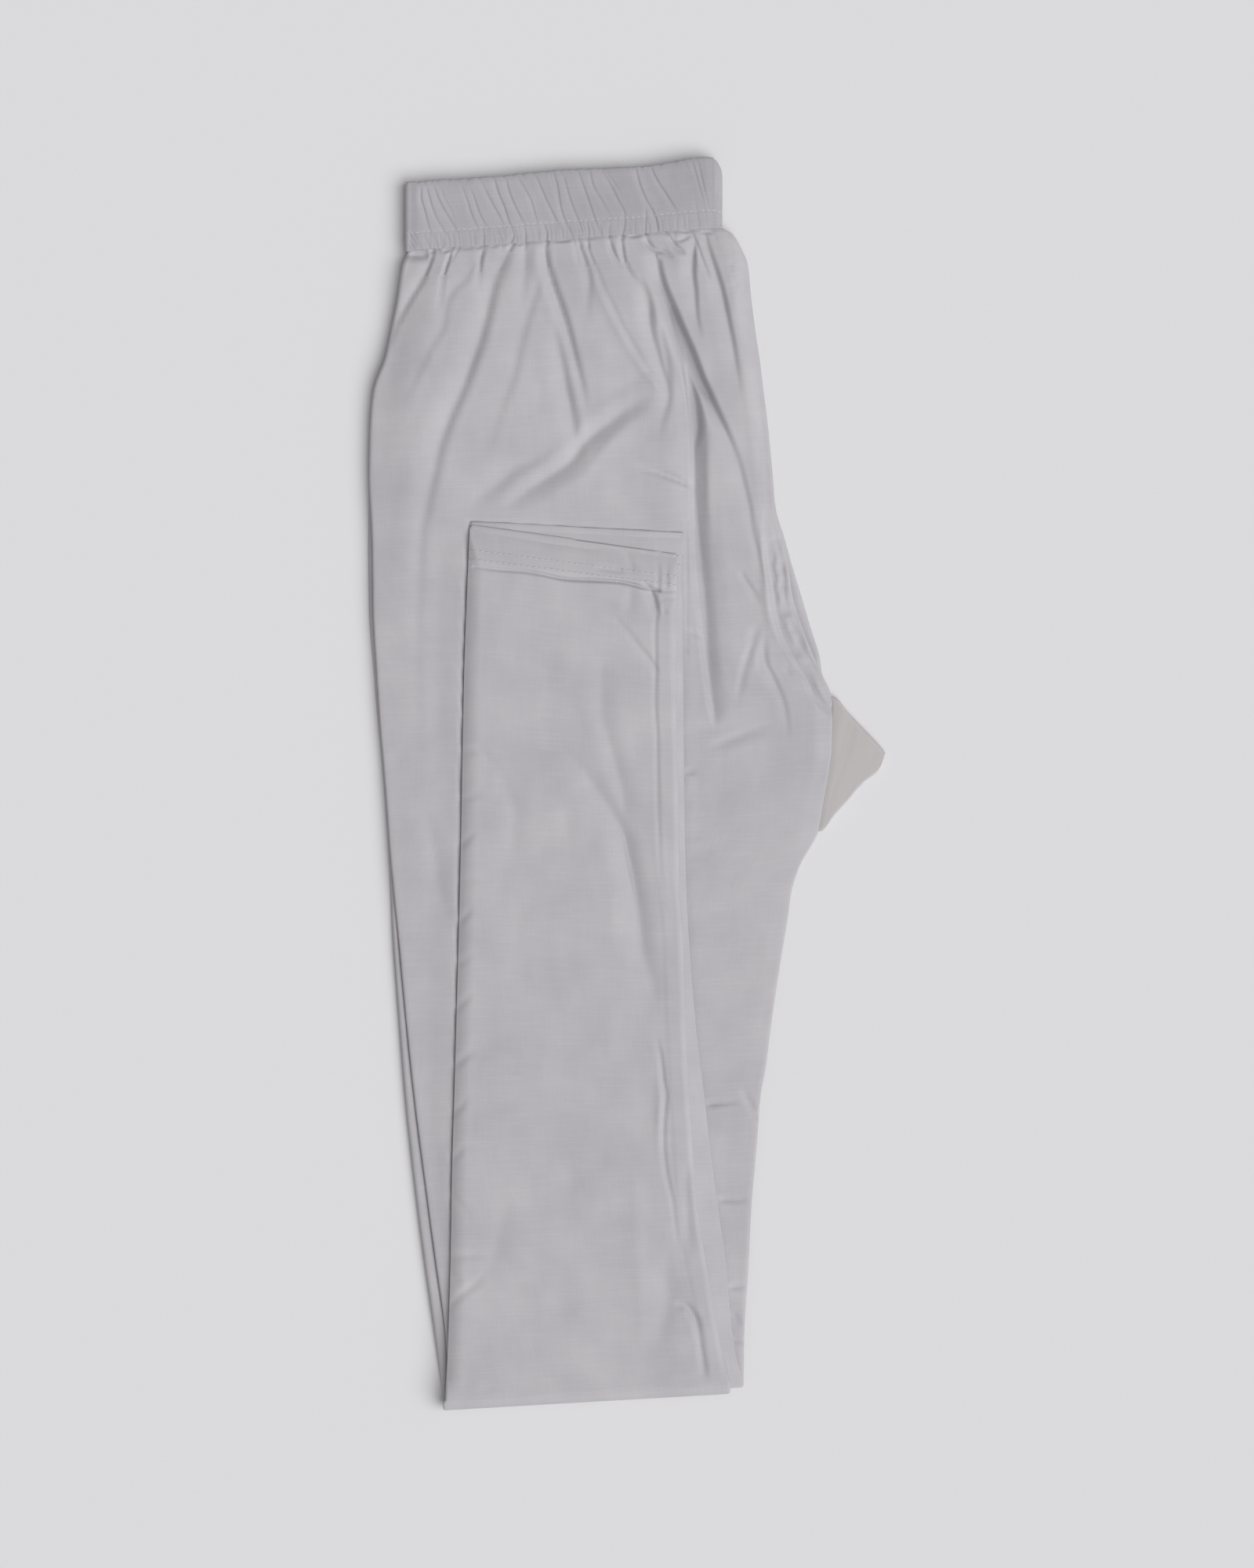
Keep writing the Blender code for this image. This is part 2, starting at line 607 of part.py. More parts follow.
def span_rows(spans, skip_first):
    for number, span in enumerate(spans):
        for step in range(span.steps + 1):
            if step or (number == 0 and not skip_first):
                yield mix(span.start, span.end, step / span.steps), span.seen, span.hidden


def build_leg(name, thigh, shank, colour, collection):
    leg = Leg(name)
    bm = bmesh.new()
    rings = [thigh_ring(leg, *row) for row in span_rows(thigh, False)]
    for step in range(1, KNEE_STEPS):
        rings.append(knee_ring(leg, math.pi * step / KNEE_STEPS, thigh[-1].seen, thigh[-1].hidden))
    rings += [shank_ring(leg, *row) for row in span_rows(shank, False)]
    for depth in (0.0, HEM_MOUTH_DEPTH):
        rings.append(shank_ring(leg, SHANK_LENGTH - depth, shank[-1].hidden, shank[-1].hidden, mouth=True))
    rings = [add_ring(bm, ring) for ring in rings]
    for first, second in zip(rings, rings[1:]):
        zip_rings(bm, first, second)
    close_ring(bm, rings[0])
    close_ring(bm, rings[-1])
    return add_object(name, bm, colour, collection)


def folded_band(left, right, pitch, wall, offset, columns, steps_below):
    # a flattened ring laid double, in section: (place, x, z) down its four layers and round the two
    # left folds, the tight right fold and the wide right fold that goes round it. The offset is
    # measured from the middle of the wall towards the outside of the garment.
    heights = [wall / 2 + pitch * layer for layer in (3, 2, 1, 0)]
    low = left + pitch / 2 + wall / 2
    high = right - pitch * 1.5 - wall / 2
    centre = (heights[0] + heights[3]) / 2
    runs = [
        (high, low, heights[0] + offset, columns),
        (low, high, heights[1] - offset, steps_below),
        (high, low, heights[2] + offset, steps_below),
        (low, high, heights[3] - offset, steps_below),
    ]
    turns = [
        (low, (heights[0] + heights[1]) / 2, pitch / 2 + offset, 90, 270),
        (high, centre, pitch / 2 - offset, 90, -90),
        (low, (heights[2] + heights[3]) / 2, pitch / 2 + offset, 90, 270),
        (high, centre, pitch * 1.5 + offset, -90, 90),
    ]
    points = []
    for number, ((start, end, z, steps), (x, y, radius, first, last)) in enumerate(zip(runs, turns)):
        for step in range(steps):
            t = step / steps
            points.append(((number + 0.8 * t) / 4, mix(start, end, t), z))
        for step in range(TURN_STEPS):
            t = step / TURN_STEPS
            angle = math.radians(mix(first, last, t))
            place = (number + 0.8 + 0.2 * t) / 4
            points.append((place, x + radius * math.cos(angle), y + radius * math.sin(angle)))
    return points


def gather_columns(low, high, at):
    # (x, rise) from right to left across the seen layer, with its troughs on the gathers
    lines = [(low, EDGE_GATHER)]
    lines += [(mix(gather.seam, gather.top, at), gather.depth) for gather in GATHERS]
    lines += [(high, EDGE_GATHER)]
    columns = []
    for (x_a, depth_a), (x_b, depth_b) in zip(lines, lines[1:]):
        for step in range(GATHER_STEPS):
            t = step / GATHER_STEPS
            trough = mix(depth_a, depth_b, t) * (1 + math.cos(2 * math.pi * t)) / 2
            columns.append((mix(x_a, x_b, t), GATHER_RISE - trough))
    return columns[:0:-1] + [(low, 0.0)]


def build_waistband(colour, collection):
    bm = bmesh.new()
    pitch = BAND_WALL + BAND_GAP
    inside_steps = 6
    seen_steps = GATHER_STEPS * (len(GATHERS) + 1)
    low = BAND_SIDE.outer + pitch / 2 + BAND_WALL / 2
    high = BAND_SIDE.inner - pitch * 1.5 - BAND_WALL / 2

    def row_ring(row, side, columns):
        offset = side * row.wall * BAND_WALL / 2
        loop = folded_band(BAND_SIDE.outer, BAND_SIDE.inner, pitch, BAND_WALL, offset, columns, inside_steps)
        if side > 0:
            gathered = gather_columns(low, high, row.at)
            for step, (x, rise) in enumerate(gathered[:columns - 1], start=1):
                place, _, z = loop[step]
                loop[step] = (place, x, z + rise * row.gathers)
        ring = [(place, (x, mix(seam_y(x), band_top_at(x), row.at), z)) for place, x, z in loop]
        return add_ring(bm, ring)

    outside = [row_ring(row, 1, seen_steps) for row in BAND_ROWS]
    inside = [row_ring(row, -1, inside_steps) for row in BAND_ROWS if row.inside]
    rings = outside + inside[::-1] + outside[:1]
    for first, second in zip(rings, rings[1:]):
        zip_rings(bm, first, second)
    return add_object("waistband", bm, colour, collection)


def build_gusset(colour, collection):
    bm = bmesh.new()
    pitch = (2 * LEG_WALL + LAYER_GAP - GUSSET_WALL) / 3
    leg_seam = curve(THIGH_INNER, "left_leg")
    first = GUSSET[0]
    steps = 5

    def section_ring(row, side):
        length = math.hypot(row.back_x - row.inseam_x, row.back_y - row.inseam_y)
        loop = folded_band(0.0, length, pitch, GUSSET_WALL, side * GUSSET_WALL / 2, steps, steps)
        ring = []
        for place, along, z in loop:
            t = along / length
            seam_y = mix(first.inseam_y, first.back_y, t)
            bow = leg_seam(seam_y) + SEAM_GAP - mix(first.inseam_x, first.back_x, t)
            x = mix(row.inseam_x, row.back_x, t) + row.curved * bow
            ring.append((place, (x, mix(row.inseam_y, row.back_y, t), z)))
        return add_ring(bm, ring)

    outside = [section_ring(row, 1) for row in GUSSET]
    inside = [section_ring(row, -1) for row in GUSSET[::2]]
    rings = outside + inside[::-1] + outside[:1]
    for first, second in zip(rings, rings[1:]):
        zip_rings(bm, first, second)
    return add_object("gusset", bm, colour, collection)


def centre_on_origin(pieces):
    # the origin is the middle of the outline, on the surface that the trousers lie on
    points = [vertex.co for piece in pieces for vertex in piece.data.vertices]
    middle = [(min(p[axis] for p in points) + max(p[axis] for p in points)) / 2 for axis in (0, 1)]
    shift = Vector((-middle[0], -middle[1], 0.0))
    for piece in pieces:
        for vertex in piece.data.vertices:
            vertex.co += shift


def main():
    for old in list(bpy.data.objects):
        bpy.data.objects.remove(old, do_unlink=True)
    collection = bpy.data.collections.new("folded_leggings")
    bpy.context.scene.collection.children.link(collection)
    pieces = [
        build_waistband(CLOTH_COLOUR, collection),
        build_leg("left_leg", LEFT_THIGH, LEFT_SHANK, CLOTH_COLOUR, collection),
        build_leg("right_leg", RIGHT_THIGH, RIGHT_SHANK, CLOTH_COLOUR, collection),
        build_gusset(GUSSET_COLOUR, collection),
    ]
    centre_on_origin(pieces)


main()
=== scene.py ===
import math

import bmesh
import bpy
import numpy as np
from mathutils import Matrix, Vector


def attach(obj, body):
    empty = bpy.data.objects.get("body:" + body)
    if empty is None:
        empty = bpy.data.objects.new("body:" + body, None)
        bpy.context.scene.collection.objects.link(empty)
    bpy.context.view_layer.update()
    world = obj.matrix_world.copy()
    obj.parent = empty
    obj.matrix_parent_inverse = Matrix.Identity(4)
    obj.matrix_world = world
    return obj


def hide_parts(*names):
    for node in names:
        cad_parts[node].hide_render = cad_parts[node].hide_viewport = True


# Pull-on cotton trousers with narrow legs, folded leg on leg and once more at the knee.
# X runs across the thighs, +Y towards the waist, +Z up. Sizes are in millimetres, meshes in metres.
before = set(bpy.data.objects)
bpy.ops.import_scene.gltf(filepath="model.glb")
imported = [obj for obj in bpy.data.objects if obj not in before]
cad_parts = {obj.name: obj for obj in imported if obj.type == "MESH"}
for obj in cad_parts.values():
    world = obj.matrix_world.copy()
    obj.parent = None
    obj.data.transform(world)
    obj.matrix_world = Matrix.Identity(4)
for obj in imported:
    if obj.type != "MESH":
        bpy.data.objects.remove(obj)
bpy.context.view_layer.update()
mm = 0.001
print("frame loaded")


# helpers

def mix(a, b, t):
    return a + (b - a) * t


def ease(t):
    t = np.clip(t, 0, 1)
    return t * t * (3 - 2 * t)


def smoothLine(rows, column=1):
    # a smooth curve through a table's first column and one other, never beyond its rows
    rows = sorted(rows)
    places = np.array([row[0] for row in rows], float)
    values = np.array([row[column] for row in rows], float)
    steps = np.diff(places)
    rises = np.diff(values) / steps
    turning = rises[:-1] * rises[1:] <= 0
    middle = np.where(turning, 0, 2 * rises[:-1] * rises[1:] / np.where(turning, 1, rises[:-1] + rises[1:]))
    slopes = np.concatenate([rises[:1], middle, rises[-1:]])

    def valueAt(place):
        place = np.clip(place, places[0], places[-1])
        i = np.clip(np.searchsorted(places, place, side="right") - 1, 0, len(steps) - 1)
        t = (place - places[i]) / steps[i]
        start = (1 + 2 * t) * (1 - t) ** 2 * values[i] + t * (1 - t) ** 2 * steps[i] * slopes[i]
        return start + t * t * (3 - 2 * t) * values[i + 1] + t * t * (t - 1) * steps[i] * slopes[i + 1]

    return valueAt


def noiseLayers(x, y, *layers):
    # each layer: weight, size along x, size along y, seed
    return sum(weight * softNoise(x, y, *rest) for weight, *rest in layers)


def softNoise(x, y, sizeX, sizeY, seed):
    # smooth unevenness from -1 to 1, in bumps of about this size
    cells = 97
    grid = np.random.default_rng(seed).uniform(-1, 1, (cells, cells))
    u, v = np.asarray(x) / sizeX, np.asarray(y) / sizeY
    i, j = np.floor(u).astype(int), np.floor(v).astype(int)
    s, t = ease(u - i), ease(v - j)
    low = mix(grid[i % cells, j % cells], grid[(i + 1) % cells, j % cells], s)
    high = mix(grid[i % cells, (j + 1) % cells], grid[(i + 1) % cells, (j + 1) % cells], s)
    return mix(low, high, t)


def roundedRoute(points, cuts=3):
    # the same points on one smooth curve
    ends = np.vstack([2 * points[0] - points[1], points, 2 * points[-1] - points[-2]])
    rows = []
    for a, b, c, d in zip(ends, ends[1:], ends[2:], ends[3:]):
        for t in np.arange(cuts) / cuts:
            rows.append(b + 0.5 * t * (c - a + t * (2 * a - 5 * b + 4 * c - d + t * (3 * b - a - 3 * c + d))))
    return np.array(rows + [points[-1]])


crease = {
    "reach": 3.5,                     # in widths of the crease
    "falloff": 1.6,
    # the lip beside a trough: part of its depth, place and width in widths, steepest rise
    "lip": (0.08, 2.1, 0.8, 0.1),
}


def creaseDepth(creases, x, y):
    # how far creases lower the cloth at x, y. Troughs that meet don't add up; each has a soft lip
    lipHeight, lipPlace, lipWidth, steepestLip = crease["lip"]
    troughs, ridges = np.zeros(x.shape), np.zeros(x.shape)
    for left, right, *route in creases:
        route = roundedRoute(np.array(route, float))
        reach = crease["reach"] * max(left, right)
        low, high = route.min(axis=0) - reach, route.max(axis=0) + reach
        near = (x > low[0]) & (x < high[0]) & (y > low[1]) & (y < high[1])
        nearX, nearY = x[near], y[near]
        nearest = np.full(nearX.shape, 1e9)
        side, depth = np.zeros(nearX.shape), np.zeros(nearX.shape)
        for a, b in zip(route, route[1:]):
            run = b[:2] - a[:2]
            t = np.clip(((nearX - a[0]) * run[0] + (nearY - a[1]) * run[1]) / (run @ run), 0, 1)
            offX, offY = nearX - a[0] - t * run[0], nearY - a[1] - t * run[1]
            distance = np.hypot(offX, offY)
            closer = distance < nearest
            nearest = np.where(closer, distance, nearest)
            side = np.where(closer, run[0] * offY - run[1] * offX, side)
            depth = np.where(closer, mix(a[2], b[2], t), depth)
        width = np.where(side > 0, right, left)
        u = nearest / width
        value = depth * np.exp(-u ** crease["falloff"])
        lip = np.clip(depth * lipHeight, 0, steepestLip * width)
        lip = lip * np.exp(-((u - lipPlace) / lipWidth) ** 2)
        troughs[near] += np.maximum(value, 0) ** 3
        ridges[near] += np.minimum(value, 0) - lip
    return np.cbrt(troughs) + ridges


def fromHex(code):
    # sRGB hex to linear
    values = [int(code[i:i + 2], 16) / 255 for i in (0, 2, 4)]
    return [v / 12.92 if v <= 0.04045 else ((v + 0.055) / 1.055) ** 2.4 for v in values] + [1.0]


def addNode(tree, kind, settings=None, inputs=None):
    node = tree.nodes.new(kind)
    for name, value in (settings or {}).items():
        setattr(node, name, value)
    for name, value in (inputs or {}).items():
        if isinstance(value, bpy.types.NodeSocket):
            tree.links.new(value, node.inputs[name])
        else:
            node.inputs[name].default_value = value
    return node


# materials

slubCotton = {
    # hand-woven looking plain weave. Real threads are 0.3 mm apart; they are drawn 0.9 mm apart so
    # that the weave still shows, and the slubs (thick places in a thread) are 15 to 40 mm long
    "threadPitch": 0.9,
    "threadRun": 14.0,
    "slubWidth": 1.1,
    "slubRun": 26.0,
    "mottleSize": 38.0,
    "noiseRoughness": 0.6,
    "slubStart": 0.58,                # noise fades into a slub from here
    "slubFull": 0.78,                 # to here
    "warpSlubs": 0.3,                 # how much they show beside those of the weft
    "slubHeight": 0.55,               # over the weave
    "toneShares": (0.3, 0.6, 0.06),   # of the weave, the mottling and the slubs
    "toneRange": (0.25, 0.75),
    "relief": 0.05,
    "reliefStrength": 0.3,
    "roughness": 0.82,
    "sheen": 0.22,
    "sheenRoughness": 0.45,
}


def wovenMaterial(name, pale, deep, look):
    # woven cotton: matt, a soft sheen at glancing angles, threads and slubs along and across
    material = bpy.data.materials.new(name)
    material.use_nodes = True
    tree = material.node_tree
    shader = tree.nodes["Principled BSDF"]
    grain = addNode(tree, "ShaderNodeUVMap", {"uv_map": "clothGrain"}).outputs["UV"]

    patterns = [
        # name, size along u and along v, detail
        ("warp", look["threadPitch"], look["threadRun"], 1.0),
        ("weft", look["threadRun"], look["threadPitch"], 1.0),
        ("warpSlubs", look["slubWidth"], look["slubRun"], 0.0),
        ("weftSlubs", look["slubRun"], look["slubWidth"], 0.0),
        ("mottle", look["mottleSize"], look["mottleSize"], 2.0),
    ]
    made = {}
    for pattern, alongU, alongV, detail in patterns:
        scaled = addNode(tree, "ShaderNodeMapping", None,
                         {"Vector": grain, "Scale": (1 / (alongU * mm), 1 / (alongV * mm), 1.0)})
        noise = addNode(tree, "ShaderNodeTexNoise", {"noise_dimensions": "2D"},
                        {"Vector": scaled.outputs["Vector"], "Scale": 1.0,
                         "Detail": detail, "Roughness": look["noiseRoughness"]})
        made[pattern] = noise.outputs["Fac"]
    for pattern in ("warpSlubs", "weftSlubs"):
        faded = addNode(tree, "ShaderNodeMapRange", {"interpolation_type": "SMOOTHSTEP"},
                        {"Value": made[pattern], "From Min": look["slubStart"], "From Max": look["slubFull"]})
        made[pattern] = faded.outputs["Result"]
    ofWeave, ofMottle, ofSlubs = look["toneShares"]
    sums = [
        # result, operation, of this, with this
        ("halfWarp", "MULTIPLY", "warp", 0.5),
        ("halfWeft", "MULTIPLY", "weft", 0.5),
        ("weave", "ADD", "halfWarp", "halfWeft"),
        ("weakSlubs", "MULTIPLY", "warpSlubs", look["warpSlubs"]),
        ("slubs", "ADD", "weakSlubs", "weftSlubs"),
        ("slubRelief", "MULTIPLY", "slubs", look["slubHeight"]),
        ("relief", "ADD", "weave", "slubRelief"),
        ("weaveTone", "MULTIPLY", "weave", ofWeave),
        ("mottleTone", "MULTIPLY", "mottle", ofMottle),
        ("slubTone", "MULTIPLY", "slubs", ofSlubs),
        ("clothTone", "ADD", "weaveTone", "mottleTone"),
        ("tone", "ADD", "clothTone", "slubTone"),
    ]
    for result, operation, first, second in sums:
        node = addNode(tree, "ShaderNodeMath", {"operation": operation},
                       {0: made[first], 1: made.get(second, second)})
        made[result] = node.outputs[0]
    lowTone, highTone = look["toneRange"]
    blend = addNode(tree, "ShaderNodeMapRange", None,
                    {"Value": made["tone"], "From Min": lowTone, "From Max": highTone})
    colour = addNode(tree, "ShaderNodeMix", {"data_type": "RGBA"},
                     {0: blend.outputs["Result"], 6: fromHex(deep), 7: fromHex(pale)})
    bump = addNode(tree, "ShaderNodeBump", None,
                   {"Height": made["relief"], "Distance": look["relief"] * mm,
                    "Strength": look["reliefStrength"]})
    tree.links.new(colour.outputs[2], shader.inputs["Base Color"])
    tree.links.new(bump.outputs["Normal"], shader.inputs["Normal"])
    shader.inputs["Roughness"].default_value = look["roughness"]
    shader.inputs["Sheen Weight"].default_value = look["sheen"]
    shader.inputs["Sheen Roughness"].default_value = look["sheenRoughness"]
    return material


# one cloth, washed white with a cool cast; the casing's copy is darker by painted shade, and the gusset's
# copy is warmer
legCotton = wovenMaterial("slub cotton, woven", "bfbdc0", "afadb1", slubCotton)
# painted shade: the casing is the same cloth in darker colours, standing in for the shade that falls on the
# gathered waistband
bandCottonPaintedShade = wovenMaterial("slub cotton over elastic, painted shade", "b2b0b4", "a3a1a5", slubCotton)
gussetCotton = wovenMaterial("slub cotton, gusset", "c1bcbc", "b6b1b1", slubCotton)

sewingThread = {
    "deep": "bab8bc",
    "pale": "cccace",
    "twist": 0.4,                     # length of its light and dark flecks
    "roughness": 0.6,
}


def threadFinish(look):
    # spun polyester sewing thread: smoother than the cloth, so it catches a little more light
    material = bpy.data.materials.new("sewing thread, spun polyester")
    material.use_nodes = True
    tree = material.node_tree
    shader = tree.nodes["Principled BSDF"]
    place = addNode(tree, "ShaderNodeTexCoord").outputs["Object"]
    twist = addNode(tree, "ShaderNodeTexNoise", None,
                    {"Vector": place, "Scale": 1 / (look["twist"] * mm), "Detail": 1.0})
    colour = addNode(tree, "ShaderNodeMix", {"data_type": "RGBA"},
                     {0: twist.outputs["Fac"], 6: fromHex(look["deep"]), 7: fromHex(look["pale"])})
    tree.links.new(colour.outputs[2], shader.inputs["Base Color"])
    shader.inputs["Roughness"].default_value = look["roughness"]
    return material


threadMaterial = threadFinish(sewingThread)
print("materials made")


# lines that several pieces share

shared = {
    "waistSeam": (271.0, 283.0),      # y at the outer side and at the crotch side
    "kneeFold": (-313.1, -304.7),
    "kneeSide": (-92.8, 52.6),        # x of both ends of the knee fold
    "bandSide": (-113.0, 48.6),       # and of the waistband
    "legWall": 2.6,                   # front and back of one pressed leg
    "layerGap": 0.35,                 # between one leg and the other
    "seamGap": 0.3,                   # between pieces that are sewn together
    "cloth": 0.5,                     # one layer as it is drawn
}


def seamY(x):
    outer, inner = shared["bandSide"]
    return mix(*shared["waistSeam"], (x - outer) / (inner - outer))


def kneeY(x):
    outer, inner = shared["kneeSide"]
    return mix(*shared["kneeFold"], (x - outer) / (inner - outer))


# legs

